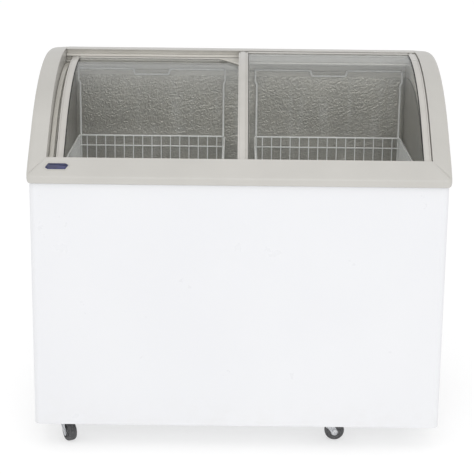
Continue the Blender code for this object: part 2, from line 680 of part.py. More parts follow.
# gusset in the lower lid's rear corner, lying on the pane
gus_x = LOWER_X[1] - STILE - GAP
gus_u1 = LID_U1 - REAR_RAIL_U - GAP
gus = side_outline("lower_lid_gusset", strip(gus_u1 - 0.088, gus_u1, LOWER_D[0], LOWER_D[0] + 0.0022),
                   gus_x - 0.062, gus_x, GREY)
y_far, y_near = crest(gus_u1, 0.02)[0] + 0.002, crest(gus_u1 - 0.088, 0.02)[0] - 0.002
modify(gus, plan_outline("gusset_cutter", [(gus_x - 0.070, y_near - 0.010), (gus_x - 0.001, y_near - 0.010),
                                           (gus_x - 0.070, y_far - 0.004)], 0.80, 1.00))

# ---------------------------------------------------------------- display
slope_angle = math.atan(FASCIA_SLOPE)
disp_mid_y = (EDGE[0] - COLLAR_Y + 0.001) / 2
disp_mid = Vector((-0.438, disp_mid_y, EDGE[1] + FASCIA_SLOPE * (disp_mid_y - EDGE[0])))
disp_turn = Matrix.Translation(disp_mid) @ Matrix.Rotation(slope_angle, 4, "X")


def hexagon(length, height):
    """Long six-sided outline with pointed ends."""
    a, b = length / 2, height / 2
    return [(-a, 0), (-a + b * 0.9, -b), (a - b * 0.9, -b), (a, 0), (a - b * 0.9, b), (-a + b * 0.9, b)]


bezel = outline("display_bezel", hexagon(0.066, 0.0225), 0.0012, disp_turn @ Matrix.Translation((0, 0, 0.0009)), GREY)
modify(bezel, outline("bezel_cutter", hexagon(0.0572, 0.0172), 0.02, disp_turn))
outline("display_window", hexagon(0.0564, 0.0166), 0.0010, disp_turn @ Matrix.Translation((0, 0, 0.0008)), INDIGO)

# ---------------------------------------------------------------- baskets


def basket_tub(name, x, y, z, t):
    """A thin open-topped tub that stands for the wire basket: its walls lie in the planes of the wires."""
    tub = box(name, x, y, z, WIREMAT)
    return modify(tub, box(name + "_inside_cutter", (x[0] + t, x[1] - t), (y[0] + t, y[1] - t), (z[0] + t, z[1] + 0.1)))


def tall_frame(name, mirror):
    """Upright wire hoop at the back of a basket, with a finger dip in its top."""
    x0, x1 = BASKET_X[0] + 0.0025, BASKET_X[1] - 0.0025
    y = BASKET_Y[1] + WIRE / 2 + 0.0012
    top, low = BASKET_TOP, BASKET_Z[0] + 0.040
    jog, dip, back = 0.0040, 0.0140, 0.0068     # side joggle, finger dip, hook over the ledge
    half = [(x0 + jog, y, low), (x0 + jog, y, top - 0.040), (x0, y, top - 0.030), (x0, y, top),
            (x0, y + back, top), (0.170, y + back, top), (0.182, y, top + 0.0004), (0.194, y, top - dip)]
    pts = half + [(x0 + x1 - a, b, c) for a, b, c in reversed(half)]
    return tube(name, round_path([(mirror * a, b, c) for a, b, c in pts], 0.005, 1), WIRE / 2, WIREMAT)


for name, mirror in (("right_basket", 1), ("left_basket", -1)):
    xs = tuple(sorted((mirror * BASKET_X[0], mirror * BASKET_X[1])))
    tub = basket_tub(name, xs, BASKET_Y, BASKET_Z, 0.0015)
    modify(tub, box(name + "_flange_cutter", (xs[0] + 0.030, xs[1] - 0.030),
                    (LINER_Y0 + 0.0030, BASKET_Y[0] + 0.0035), (FRONT_LEDGE_Z + GAP, BASKET_Z[1] - 0.0002)), "UNION")
    tall_frame(name + "_hoop", mirror)

# ---------------------------------------------------------------- casters
axle_z = WHEEL_R
wheel_mesh_owner = None
for label, cx, cy, heading in CASTERS:
    pivot = bpy.data.objects.new("caster_%s_swivel" % label, None)
    freezer.objects.link(pivot)
    pivot.location = (cx, cy, 0.0)
    pivot.rotation_euler = (0, 0, heading)
    bpy.context.view_layer.update()

    plate = box("caster_%s_plate" % label, (-0.028, 0.028), (-0.028, 0.028), (-0.0011, 0.0011), ZINC)
    plate.location = (cx, cy, BODY_Z0 - GAP - 0.0011)
    bevel(plate, 0.0006, 1)

    # the fork is drawn in the wheel's plane: local x along the trail, y across
    sides_out = [(-0.0150, 0.0588), (-0.0150, 0.0520), (TRAIL - 0.0085, 0.0210), (TRAIL - 0.0060, 0.0160),
                 (TRAIL, 0.0135), (TRAIL + 0.0060, 0.0160), (TRAIL + 0.0085, 0.0230), (0.0190, 0.0530),
                 (0.0150, 0.0588)]
    fork = front_outline("caster_%s_fork" % label, sides_out, -0.0145, 0.0145, ZINC)
    fork.matrix_world = pivot.matrix_world @ fork.matrix_world
    slot = box("caster_%s_slot_cutter" % label, (-0.06, 0.08), (-0.0122, 0.0122), (-0.02, 0.0535))
    hole = rod("caster_%s_hole_cutter" % label, 0.0034, (TRAIL, -0.05, axle_z), (TRAIL, 0.05, axle_z), 16)
    for cutter in (slot, hole):
        bpy.context.view_layer.update()
        cutter.matrix_world = pivot.matrix_world @ cutter.matrix_world
        modify(fork, cutter)

    w, r = WHEEL_W / 2, WHEEL_R
    wheel = turned("caster_%s_wheel" % label,
                   [(0.0035, w - 0.001), (0.0090, w - 0.001), (0.0100, w - 0.004), (r - 0.007, w - 0.004),
                    (r - 0.0045, w), (r, w - 0.0035), (r, -w + 0.0035), (r - 0.0045, -w),
                    (r - 0.007, -w + 0.004), (0.0100, -w + 0.004), (0.0090, -w + 0.001), (0.0035, -w + 0.001)],
                   TYRE, 24)
    across = Matrix.Translation((TRAIL, 0, axle_z)) @ Matrix.Rotation(math.pi / 2, 4, "X")
    wheel.matrix_world = pivot.matrix_world @ across
    axle = turned("caster_%s_axle" % label,
                  [(0.0, 0.0162), (0.0044, 0.0162), (0.0055, 0.0150), (0.0031, 0.0150), (0.0031, -0.0150),
                   (0.0055, -0.0150), (0.0044, -0.0162), (0.0, -0.0162)], ZINC, 16)
    axle.matrix_world = pivot.matrix_world @ across
    for piece in (fork, wheel, axle):
        place = piece.matrix_world.copy()
        piece.parent = pivot
        piece.matrix_parent_inverse = pivot.matrix_world.inverted()
        piece.matrix_world = place

# ---------------------------------------------------------------- compressor bay
base_top = BODY_Z0 + 0.002
bed = box("compressor_bed", (COMP[0] - 0.105, COMP[0] + 0.105), (COMP[1] - 0.075, COMP[1] + 0.075),
          (base_top + GAP, COMP_Z[0] - 0.0060), ZINC)
bevel(bed, 0.002, 1)
r0, h0, h1 = COMP_R, COMP_Z[0] - 0.0055, COMP_Z[1]
dome = [(0.0, h1), (r0 * 0.45, h1 - 0.003), (r0 * 0.78, h1 - 0.014), (r0 * 0.95, h1 - 0.034), (r0, h1 - 0.060),
        (r0, (h0 + h1) / 2 + 0.004), (r0 + 0.005, (h0 + h1) / 2 + 0.004), (r0 + 0.005, (h0 + h1) / 2 - 0.004),
        (r0 - 0.002, (h0 + h1) / 2 - 0.004), (r0 - 0.003, h0 + 0.030), (r0 * 0.86, h0 + 0.010), (r0 * 0.66, h0),
        (0.0, h0)]
compressor = turned("compressor", dome, BLACK, 32)
compressor.location = (COMP[0], COMP[1], 0.0)
relay = box("relay_cover", (COMP[0] + COMP_R + 0.0056, COMP[0] + COMP_R + 0.0350), (COMP[1] - 0.028, COMP[1] + 0.028),
            (0.120, 0.185), PLASTIC)
bevel(relay, 0.003, 2)
drier = turned("filter_drier", [(0.0, 0.055), (0.0032, 0.055), (0.0034, 0.045), (0.0110, 0.036), (0.0110, -0.036),
                                (0.0034, -0.045), (0.0032, -0.055), (0.0, -0.055)], COPPER, 16)
drier.location = (BAY_X + 0.020, 0.230, 0.200)

start_x = COMP[0] - COMP_R - 0.0060
tube("suction_pipe", round_path([(start_x, COMP[1] - 0.020, 0.130), (start_x - 0.020, COMP[1] - 0.020, 0.130),
                                 (start_x - 0.020, COMP[1] - 0.060, 0.200), (start_x - 0.020, -0.120, 0.290),
                                 (BAY_X + 0.0045, -0.120, 0.290)], 0.020, 3), 0.0040, COPPER)
tube("discharge_pipe", round_path([(COMP[0] - 0.020, COMP[1] + COMP_R + 0.0065, 0.120),
                                   (COMP[0] - 0.020, 0.185, 0.120), (0.330, 0.215, 0.160),
                                   (0.330, 0.215, 0.290), (0.330, 0.120, 0.3262)], 0.020, 3), 0.0030, COPPER)


def slotted(name, points_x, points_z, matrix, count, mat, thickness=0.0020, border=0.012):
    """A flat vent plate with rows of slots, drawn in its own plane."""
    half_x, half_z = points_x / 2, points_z / 2
    plate = outline(name, [(-half_x, -half_z), (half_x, -half_z), (half_x, half_z), (-half_x, half_z)],
                    thickness, matrix, mat)
    mesh = bpy.data.meshes.new(name + "_slot_cutter")
    bm = bmesh.new()
    pitch = (points_z - 2 * border) / count
    for i in range(count):
        for sx in (-1, 1):
            made = bmesh.ops.create_cube(bm, size=1.0)["verts"]
            bmesh.ops.scale(bm, verts=made, vec=(half_x - border - 0.004, pitch * 0.45, 0.03))
            bmesh.ops.translate(bm, verts=made, vec=(sx * (half_x - border + 0.004) / 2,
                                                     -half_z + border + pitch * (i + 0.5), 0))
    bm.to_mesh(mesh)
    bm.free()
    cutter = add(name + "_slot_cutter", mesh, None)
    cutter.matrix_world = matrix
    return modify(plate, cutter)


turn_back = Matrix.Rotation(math.pi, 4, "Z") @ Matrix.Rotation(math.pi / 2, 4, "X")
slotted("rear_vent_grille", 0.232, 0.220,
        Matrix.Translation((0.370, BODY_D / 2 + GAP + 0.001, 0.200)) @ turn_back, 9, WHITE)
turn_side = Matrix.Rotation(math.pi / 2, 4, "Z") @ Matrix.Rotation(math.pi / 2, 4, "X")
slotted("side_vent_grille", 0.276, 0.196,
        Matrix.Translation((BODY_W / 2 + GAP + 0.001, 0.070, 0.190)) @ turn_side, 8, WHITE)

# ---------------------------------------------------------------- back: thermostat and cable entry
back_face = BODY_D / 2 + GAP
plate = box("thermostat_plate", (KNOB[0] - 0.030, KNOB[0] + 0.030), (back_face, back_face + 0.002),
            (KNOB[1] - 0.030, KNOB[1] + 0.030), PLASTIC)
bevel(plate, 0.0008, 1)
knob = turned("thermostat_knob", [(0.0, 0.0026), (0.0120, 0.0025), (0.0150, 0.0015), (0.0155, -0.0024),
                                  (0.0, -0.0024)], PLASTIC, 28)
knob.rotation_euler = (-math.pi / 2, 0, 0)
knob.location = (KNOB[0], back_face + 0.002 + GAP + 0.0024, KNOB[1])
gland = turned("cable_gland", [(0.0045, 0.0070), (0.0070, 0.0070), (0.0080, 0.0040), (0.0100, 0.0030),
                               (0.0100, 0.0), (0.0045, 0.0)], PLASTIC, 20)
gland.rotation_euler = (-math.pi / 2, 0, 0)
gland.location = (GLAND[0], back_face, GLAND[1])
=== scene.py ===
"""Looks of the curved-top chest freezer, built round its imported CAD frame.

Every length is in metres, in the frame of part.py: +X right, +Y rear, +Z up,
origin on the floor at the bottom centre.  The numbers that place a piece repeat
part.py's; the visual pieces follow the true curve of the crest, where the CAD
pieces follow its facets.
"""
import math

import bmesh
import bpy
from mathutils import Matrix, Vector


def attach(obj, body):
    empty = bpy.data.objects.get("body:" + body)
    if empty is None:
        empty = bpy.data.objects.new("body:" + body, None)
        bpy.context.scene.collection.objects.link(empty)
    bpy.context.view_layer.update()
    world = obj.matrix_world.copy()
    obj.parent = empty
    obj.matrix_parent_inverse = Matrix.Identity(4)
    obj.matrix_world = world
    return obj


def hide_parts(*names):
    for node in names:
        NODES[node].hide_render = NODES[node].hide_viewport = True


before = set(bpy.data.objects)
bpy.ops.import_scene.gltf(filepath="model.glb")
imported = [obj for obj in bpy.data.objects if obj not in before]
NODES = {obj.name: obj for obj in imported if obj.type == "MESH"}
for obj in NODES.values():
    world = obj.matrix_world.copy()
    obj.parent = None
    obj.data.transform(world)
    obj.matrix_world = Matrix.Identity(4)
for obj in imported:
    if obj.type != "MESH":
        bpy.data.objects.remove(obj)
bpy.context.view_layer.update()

# ------------------------------------------------------------------ sizes, as in part.py
BODY_W, BODY_D, BODY_Z0, BODY_CORNER, SHEET = 1.010, 0.640, 0.062, 0.014, 0.0015
COLLAR_W, COLLAR_Y, COLLAR_Z0, CHEEK_IN = 1.020, 0.328, 0.680, 0.465
LIP_Z, FASCIA_EDGE_Y = 0.698, -0.2897
CROWN_SLOPE, CROWN_EDGE_X, CROWN_EDGE_DROP = 0.060, 0.494, 0.0055
SLOPE_SKIN = 0.0016
APEX_Y, APEX_Z, CROWN_R, REAR_R = 0.140, 0.9375, 0.535, 0.900
FLANK = math.radians(41.0)
DECK_Y = 0.165
LINER_X, LINER_Y0, LINER_Y1, LINER_Z0 = 0.452, -0.265, 0.262, 0.122
STEP_X, STEP_Z = 0.190, 0.390
LEDGE_Z, FRONT_LEDGE_Z = 0.868, 0.6850
UPPER_D, LOWER_D, GLASS_T = (0.003, 0.013), (0.020, 0.030), 0.004
LID_U0, LID_U1, RAIL_U, REAR_RAIL_U = -0.113, 0.420, 0.011, 0.032
UPPER_X, LOWER_X, STILE, MEETING = (-0.005, 0.463), (-0.445, 0.023), 0.018, 0.025
BASKET_X, BASKET_Y, BASKET_Z, BASKET_TOP = (0.039, 0.445), (-0.240, 0.246), (0.445, 0.690), 0.8712
WHEEL_R, WHEEL_W, TRAIL = 0.025, 0.022, 0.025
CASTERS = (
    ("front_left", -0.436, -0.250, math.radians(-60.0)),
    ("front_right", 0.225, -0.245, 0.0),
    ("rear_left", -0.436, 0.250, math.radians(75.0)),
    ("rear_right", 0.436, 0.250, math.radians(140.0)),
)
COMP, COMP_R, COMP_Z = (0.372, 0.080), 0.075, (0.0745, 0.262)
BAY_X = 0.240
KNOB, GLAND, DRAIN = (0.455, 0.372), (0.470, 0.078), (-0.380, 0.120)

# ------------------------------------------------------------------ the crest
TAN = (APEX_Y - CROWN_R * math.sin(FLANK), APEX_Z - CROWN_R * (1 - math.cos(FLANK)))
ARC_U = CROWN_R * FLANK


def crest(u, d=0.0):
    """(y, z) of the point u along the side profile of the top and d inside it."""
    if u <= 0.0:
        return (TAN[0] + u * math.cos(FLANK) + d * math.sin(FLANK),
                TAN[1] + u * math.sin(FLANK) - d * math.cos(FLANK))
    if u <= ARC_U:
        a = FLANK - u / CROWN_R
        return (APEX_Y - (CROWN_R - d) * math.sin(a), APEX_Z - CROWN_R + (CROWN_R - d) * math.cos(a))
    a = (u - ARC_U) / REAR_R
    return (APEX_Y + (REAR_R - d) * math.sin(a), APEX_Z - REAR_R + (REAR_R - d) * math.cos(a))


def u_at_y(y, d=0.0):
    low, high = -0.25, ARC_U + 0.25
    for _ in range(50):
        mid = (low + high) / 2
        if crest(mid, d)[0] < y:
            low = mid
        else:
            high = mid
    return (low + high) / 2


def spread(a, b, n):
    return [a + (b - a) * i / n for i in range(n + 1)]


EDGE_U = u_at_y(FASCIA_EDGE_Y)
EDGE = crest(EDGE_U)
FASCIA_SLOPE = (EDGE[1] - LIP_Z) / (EDGE[0] + COLLAR_Y)

# ------------------------------------------------------------------ materials


class Graph:
    """A short way to write a material's nodes."""

    def __init__(self, name):
        self.mat = bpy.data.materials.new(name)
        self.mat.use_nodes = True
        self.tree = self.mat.node_tree
        self.tree.nodes.clear()
        self.out = self.tree.nodes.new("ShaderNodeOutputMaterial")
        self.coords = self.node("ShaderNodeTexCoord").outputs["Object"]

    def node(self, kind, **settings):
        made = self.tree.nodes.new(kind)
        for key, value in settings.items():
            setattr(made, key, value)
        return made

    def link(self, source, target):
        if hasattr(source, "is_output"):
            self.tree.links.new(source, target)
        else:
            target.default_value = source

    def scaled(self, scale, turn=(0, 0, 0)):
        at = self.node("ShaderNodeMapping")
        self.tree.links.new(self.coords, at.inputs["Vector"])
        at.inputs["Scale"].default_value = scale
        at.inputs["Rotation"].default_value = turn
        return at.outputs["Vector"]

    def noise(self, scale, detail=3.0, rough=0.5, vector=None, distortion=0.0):
        tex = self.node("ShaderNodeTexNoise")
        self.tree.links.new(vector or self.coords, tex.inputs["Vector"])
        tex.inputs["Scale"].default_value = scale
        tex.inputs["Detail"].default_value = detail
        tex.inputs["Roughness"].default_value = rough
        tex.inputs["Distortion"].default_value = distortion
        return tex.outputs["Fac"]

    def cells(self, scale, feature="F1", vector=None, smooth=0.0, metric="EUCLIDEAN"):
        tex = self.node("ShaderNodeTexVoronoi", feature=feature)
        if feature != "DISTANCE_TO_EDGE":
            tex.distance = metric
        self.tree.links.new(vector or self.coords, tex.inputs["Vector"])
        tex.inputs["Scale"].default_value = scale
        if feature == "SMOOTH_F1":
            tex.inputs["Smoothness"].default_value = smooth
        return tex.outputs["Distance"]

    def ramp(self, value, low, high, to_low=0.0, to_high=1.0):
        at = self.node("ShaderNodeMapRange")
        at.clamp = True
        self.link(value, at.inputs["Value"])
        at.inputs["From Min"].default_value = low
        at.inputs["From Max"].default_value = high
        at.inputs["To Min"].default_value = to_low
        at.inputs["To Max"].default_value = to_high
        return at.outputs["Result"]

    def maths(self, operation, a, b=0.0, clamp=False):
        at = self.node("ShaderNodeMath", operation=operation, use_clamp=clamp)
        self.link(a, at.inputs[0])
        self.link(b, at.inputs[1])
        return at.outputs[0]

    def mix(self, factor, a, b):
        at = self.node("ShaderNodeMix", data_type="RGBA")
        self.link(factor, at.inputs["Factor"])
        for value, target in ((a, at.inputs["A"]), (b, at.inputs["B"])):
            self.link(value if hasattr(value, "is_output") else (*value, 1.0), target)
        return at.outputs["Result"]

    def height(self):
        """Height above the floor, and the other two coordinates."""
        at = self.node("ShaderNodeSeparateXYZ")
        self.tree.links.new(self.coords, at.inputs[0])
        return at.outputs

    def bump(self, value, distance, strength=1.0, normal=None):
        at = self.node("ShaderNodeBump")
        self.link(value, at.inputs["Height"])
        at.inputs["Distance"].default_value = distance
        at.inputs["Strength"].default_value = strength
        if normal is not None:
            self.tree.links.new(normal, at.inputs["Normal"])
        return at.outputs["Normal"]

    def edges(self, low=0.52, high=0.62):
        """1 on convex edges, 0 elsewhere."""
        at = self.node("ShaderNodeNewGeometry")
        return self.ramp(at.outputs["Pointiness"], low, high)

    def principled(self, colour, roughness, normal=None, **constants):
        shader = self.node("ShaderNodeBsdfPrincipled")
        self.link(colour if hasattr(colour, "is_output") else (*colour, 1.0), shader.inputs["Base Color"])
        self.link(roughness, shader.inputs["Roughness"])
        if normal is not None:
            self.tree.links.new(normal, shader.inputs["Normal"])
        for key, value in constants.items():
            self.link(value, shader.inputs[key.replace("_", " ")])
        self.tree.links.new(shader.outputs[0], self.out.inputs["Surface"])
        return shader


def painted_steel():
    """Powder-coated white sheet: faint orange peel, slight waviness, and dust low down."""
    g = Graph("painted_steel")
    wide = g.noise(2.3, 2.0)
    colour = g.mix(g.ramp(wide, 0.3, 0.7), (0.758, 0.764, 0.785), (0.782, 0.787, 0.804))
    speck = g.ramp(g.noise(900.0, 1.0), 0.70, 0.76, 0.0, 0.10)
    colour = g.mix(speck, colour, (0.70, 0.70, 0.70))
    low = g.ramp(g.height()[2], 0.062, 0.150, 1.0, 0.0)
    dust = g.maths("MULTIPLY", low, g.ramp(g.noise(26.0, 5.0, 0.6), 0.42, 0.72, 0.0, 0.16))
    colour = g.mix(dust, colour, (0.66, 0.64, 0.60))
    colour = g.mix(g.maths("MULTIPLY", g.edges(0.54, 0.64), 0.10), colour, (0.72, 0.73, 0.74))
    rough = g.maths("ADD", g.ramp(g.noise(14.0, 4.0, 0.6), 0.3, 0.7, 0.27, 0.36),
                    g.maths("MULTIPLY", dust, 0.9))
    peel = g.bump(g.noise(430.0, 2.0, 0.45), 0.00005, 0.55)
    normal = g.bump(g.noise(5.0, 1.0), 0.0011, 0.10, peel)
    g.principled(colour, rough, normal, Specular_IOR_Level=0.45)
    return g.mat


def moulding(name, light, dark, rough=0.42, grain=650.0, depth=0.00006, scuff=0.5, tint=6.0, gloss=0.0):
    """Injection-moulded or extruded plastic: spark grain, flow clouds, dulled edges and hair scuffs."""
    g = Graph(name)
    colour = g.mix(g.ramp(g.noise(tint, 3.0, 0.55), 0.32, 0.68), dark, light)
    fine = g.noise(grain, 2.0, 0.55)
    colour = g.mix(g.ramp(fine, 0.35, 0.75, 0.0, 0.10), colour, tuple(c * 0.82 for c in dark))
    hairs = g.noise(46.0, 6.0, 0.75, g.scaled((1.0, 9.0, 9.0), (0.4, 0.3, 0.9)), 0.4)
    marks = g.ramp(hairs, 0.66, 0.74, 0.0, 0.16 * scuff)
    colour = g.mix(marks, colour, tuple(min(1.0, c * 1.18) for c in light))
    worn = g.edges(0.53, 0.66)
    colour = g.mix(g.maths("MULTIPLY", worn, 0.22), colour, tuple(min(1.0, c * 1.22) for c in light))
    base = g.ramp(g.noise(22.0, 4.0, 0.6), 0.3, 0.7, rough - 0.05, rough + 0.06)
    roughness = g.maths("ADD", base, g.maths("MULTIPLY", marks, 0.9))
    normal = g.bump(fine, depth, 0.6)
    normal = g.bump(g.noise(9.0, 1.0), 0.0006, 0.10, normal)
    g.principled(colour, roughness, normal, Specular_IOR_Level=0.45, Coat_Weight=gloss, Coat_Roughness=0.16)
    return g.mat


def stucco_aluminium():
    """Embossed aluminium sheet: close pebbled relief with painted shade in its hollows, cloudy tarnish, and streaks of
    dried frost.
    """
    g = Graph("stucco_aluminium_sheet")
    warp = g.noise(60.0, 2.0)
    at = g.node("ShaderNodeMixRGB", blend_type="LINEAR_LIGHT")
    at.inputs[0].default_value = 0.012
    g.tree.links.new(g.coords, at.inputs[1])
    g.tree.links.new(warp, at.inputs[2])
    pebble = g.cells(165.0, "SMOOTH_F1", at.outputs[0], 0.45)
    relief = g.ramp(pebble, 0.12, 0.75, 1.0, 0.0)
    cloud = g.ramp(g.noise(7.0, 4.0, 0.6), 0.32, 0.70)
    colour = g.mix(cloud, (0.40, 0.385, 0.350), (0.49, 0.472, 0.428))
    # The hollows between the pebbles are darkened a little: painted shade.
    colour = g.mix(g.ramp(relief, 0.0, 0.35, 0.30, 0.0), colour, (0.40, 0.40, 0.39))
    streak = g.ramp(g.noise(30.0, 4.0, 0.6, g.scaled((1.0, 1.0, 0.12))), 0.52, 0.78, 0.0, 0.35)
    colour = g.mix(streak, colour, (0.74, 0.75, 0.75))
    rough = g.maths("ADD", g.ramp(g.noise(19.0, 4.0, 0.6), 0.3, 0.7, 0.34, 0.46), g.maths("MULTIPLY", streak, 0.3))
    normal = g.bump(relief, 0.0007, 0.75)
    normal = g.bump(g.noise(3.0, 2.0), 0.004, 0.15, normal)
    g.principled(colour, rough, normal, Metallic=0.72)
    return g.mat


def zinc_plate(name="bright_zinc", light=(0.66, 0.67, 0.69), dark=(0.44, 0.45, 0.47), rough=0.34):
    """Zinc-plated steel: spangle, brushed grain, white bloom in the hollows and bright edges."""
    g = Graph(name)
    spangle = g.cells(260.0, "F1")
    colour = g.mix(g.ramp(spangle, 0.1, 0.7), light, dark)
    colour = g.mix(g.ramp(g.noise(85.0, 5.0, 0.65), 0.55, 0.75, 0.0, 0.45), colour, (0.52, 0.50, 0.47))
    colour = g.mix(g.maths("MULTIPLY", g.edges(0.53, 0.62), 0.6), colour, (0.80, 0.81, 0.82))
    brush = g.noise(420.0, 3.0, 0.6, g.scaled((0.15, 1.0, 1.0)))
    roughness = g.ramp(g.noise(120.0, 4.0), 0.3, 0.7, rough - 0.08, rough + 0.12)
    normal = g.bump(brush, 0.00008, 0.5)
    g.principled(colour, roughness, normal, Metallic=0.92)
    return g.mat


def coated_wire():
    """Dipped white plastic coating on wire: soft runs in the coat and a few grey rubs."""
    g = Graph("dipped_coating")
    colour = g.mix(g.ramp(g.noise(40.0, 3.0), 0.35, 0.65), (0.90, 0.90, 0.89), (0.95, 0.95, 0.94))
    rub = g.ramp(g.noise(75.0, 5.0, 0.7), 0.68, 0.76, 0.0, 0.25)
    colour = g.mix(rub, colour, (0.58, 0.58, 0.56))
    rough = g.maths("ADD", g.ramp(g.noise(90.0, 2.0), 0.3, 0.7, 0.26, 0.38), g.maths("MULTIPLY", rub, 0.4))
    normal = g.bump(g.noise(210.0, 2.0), 0.00022, 0.5)
    g.principled(colour, rough, normal, Specular_IOR_Level=0.5, Coat_Weight=0.6, Coat_Roughness=0.12)
    return g.mat


def rubbery(name, light, dark, rough=0.62, tread=0.0, grit=0.35):
    """Rubber or grey thermoplastic: mould grain, ground-in dust and scuffed edges."""
    g = Graph(name)
    colour = g.mix(g.ramp(g.noise(60.0, 4.0, 0.6), 0.35, 0.68), dark, light)
    dust = g.ramp(g.noise(240.0, 5.0, 0.7), 0.50, 0.75, 0.0, grit)
    colour = g.mix(dust, colour, (0.34, 0.33, 0.31))
    colour = g.mix(g.maths("MULTIPLY", g.edges(0.53, 0.63), 0.35), colour, tuple(min(1, c * 1.7) for c in light))
    rough_value = g.ramp(g.noise(160.0, 4.0), 0.3, 0.7, rough - 0.08, rough + 0.12)
    normal = g.bump(g.noise(1300.0, 2.0), 0.00008, 0.8)
    if tread:
        normal = g.bump(g.noise(tread, 3.0), 0.0003, 0.4, normal)
    g.principled(colour, rough_value, normal, Specular_IOR_Level=0.4)
    return g.mat


def enamel_black():
    g = Graph("black_enamel")
    colour = g.mix(g.ramp(g.noise(18.0, 4.0), 0.35, 0.7), (0.016, 0.016, 0.018), (0.028, 0.028, 0.030))
    dust = g.ramp(g.noise(110.0, 6.0, 0.7), 0.5, 0.8, 0.0, 0.35)
    colour = g.mix(dust, colour, (0.14, 0.13, 0.12))
    colour = g.mix(g.maths("MULTIPLY", g.edges(0.54, 0.64), 0.4), colour, (0.16, 0.15, 0.15))
    rough = g.maths("ADD", g.ramp(g.noise(40.0, 3.0), 0.3, 0.7, 0.24, 0.34), g.maths("MULTIPLY", dust, 0.8))
    g.principled(colour, rough, g.bump(g.noise(500.0, 2.0), 0.00012, 0.6))
    return g.mat


def copper_pipe():
    g = Graph("drawn_copper")
    colour = g.mix(g.ramp(g.noise(45.0, 5.0, 0.65), 0.35, 0.68), (0.55, 0.24, 0.14), (0.78, 0.42, 0.27))
    colour = g.mix(g.ramp(g.noise(130.0, 5.0, 0.7), 0.62, 0.78, 0.0, 0.6), colour, (0.20, 0.11, 0.08))
    rough = g.ramp(g.noise(80.0, 4.0), 0.3, 0.7, 0.25, 0.48)
    draw = g.noise(600.0, 2.0, 0.5, g.scaled((1.0, 0.2, 1.0)))
    g.principled(colour, rough, g.bump(draw, 0.00006, 0.5), Metallic=0.95)
    return g.mat


def foam_block():
    """Rigid foam: skin with open cells and a browned surface."""
    g = Graph("rigid_foam")
    colour = g.mix(g.ramp(g.noise(9.0, 5.0, 0.6), 0.35, 0.7), (0.62, 0.50, 0.27), (0.76, 0.66, 0.40))
    cell = g.cells(420.0, "F1")
    colour = g.mix(g.ramp(cell, 0.35, 0.75, 0.0, 0.45), colour, (0.45, 0.35, 0.18))
    normal = g.bump(g.ramp(cell, 0.1, 0.8), 0.0006, 0.8)
    normal = g.bump(g.noise(20.0, 4.0), 0.003, 0.4, normal)
    g.principled(colour, g.ramp(g.noise(60.0, 3.0), 0.3, 0.7, 0.78, 0.94), normal)
    return g.mat


def indigo_window():
    """Smoked display window: deep indigo under a hard clear skin, with faint dust."""
    g = Graph("smoked_window")
    colour = g.mix(g.ramp(g.noise(95.0, 3.0), 0.3, 0.7), (0.010, 0.013, 0.060), (0.018, 0.024, 0.125))
    dust = g.ramp(g.noise(700.0, 4.0, 0.7), 0.60, 0.80, 0.0, 0.14)
    colour = g.mix(dust, colour, (0.16, 0.17, 0.25))
    rough = g.maths("ADD", g.ramp(g.noise(60.0, 3.0), 0.3, 0.7, 0.06, 0.14), dust)
    g.principled(colour, rough, g.bump(g.noise(300.0, 2.0), 0.00003, 0.4), Coat_Weight=0.6, Coat_Roughness=0.05)
    return g.mat


def pane():
    """Tempered glass: clear, mirrors more at a shallow angle, with a trace of haze and wiping marks.
    The mirror share follows the facing angle on both sides, so light inside isn't trapped."""
    g = Graph("tempered_glass")
    wipe = g.noise(6.0, 5.0, 0.7, g.scaled((1.0, 3.2, 1.0), (0.0, 0.0, 0.5)), 0.8)
    haze = g.ramp(wipe, 0.35, 0.75, 0.0, 1.0)
    clear = g.node("ShaderNodeBsdfTransparent")
    g.link(g.mix(haze, (0.985, 0.990, 0.986), (0.975, 0.980, 0.976)), clear.inputs["Color"])
    mirror = g.node("ShaderNodeBsdfGlossy")
    mirror.inputs["Color"].default_value = (0.97, 0.98, 0.98, 1.0)
    g.link(g.ramp(haze, 0.0, 1.0, 0.015, 0.07), mirror.inputs["Roughness"])
    g.link(g.bump(g.noise(2.2, 1.0), 0.002, 0.10), mirror.inputs["Normal"])
    facing = g.node("ShaderNodeLayerWeight")
    facing.inputs["Blend"].default_value = 0.5
    power = g.maths("POWER", facing.outputs["Facing"], 4.0)
    share = g.maths("ADD", g.maths("MULTIPLY", power, 0.75), 0.010)
    film = g.node("ShaderNodeBsdfDiffuse")
    film.inputs["Color"].default_value = (0.80, 0.82, 0.82, 1.0)
    veil = g.node("ShaderNodeMixShader")
    g.link(g.ramp(haze, 0.0, 1.0, 0.002, 0.012), veil.inputs[0])
    g.tree.links.new(clear.outputs[0], veil.inputs[1])
    g.tree.links.new(film.outputs[0], veil.inputs[2])
    both = g.node("ShaderNodeMixShader")
    g.link(share, both.inputs[0])
    g.tree.links.new(veil.outputs[0], both.inputs[1])
    g.tree.links.new(mirror.outputs[0], both.inputs[2])
    g.tree.links.new(both.outputs[0], g.out.inputs["Surface"])
    return g.mat


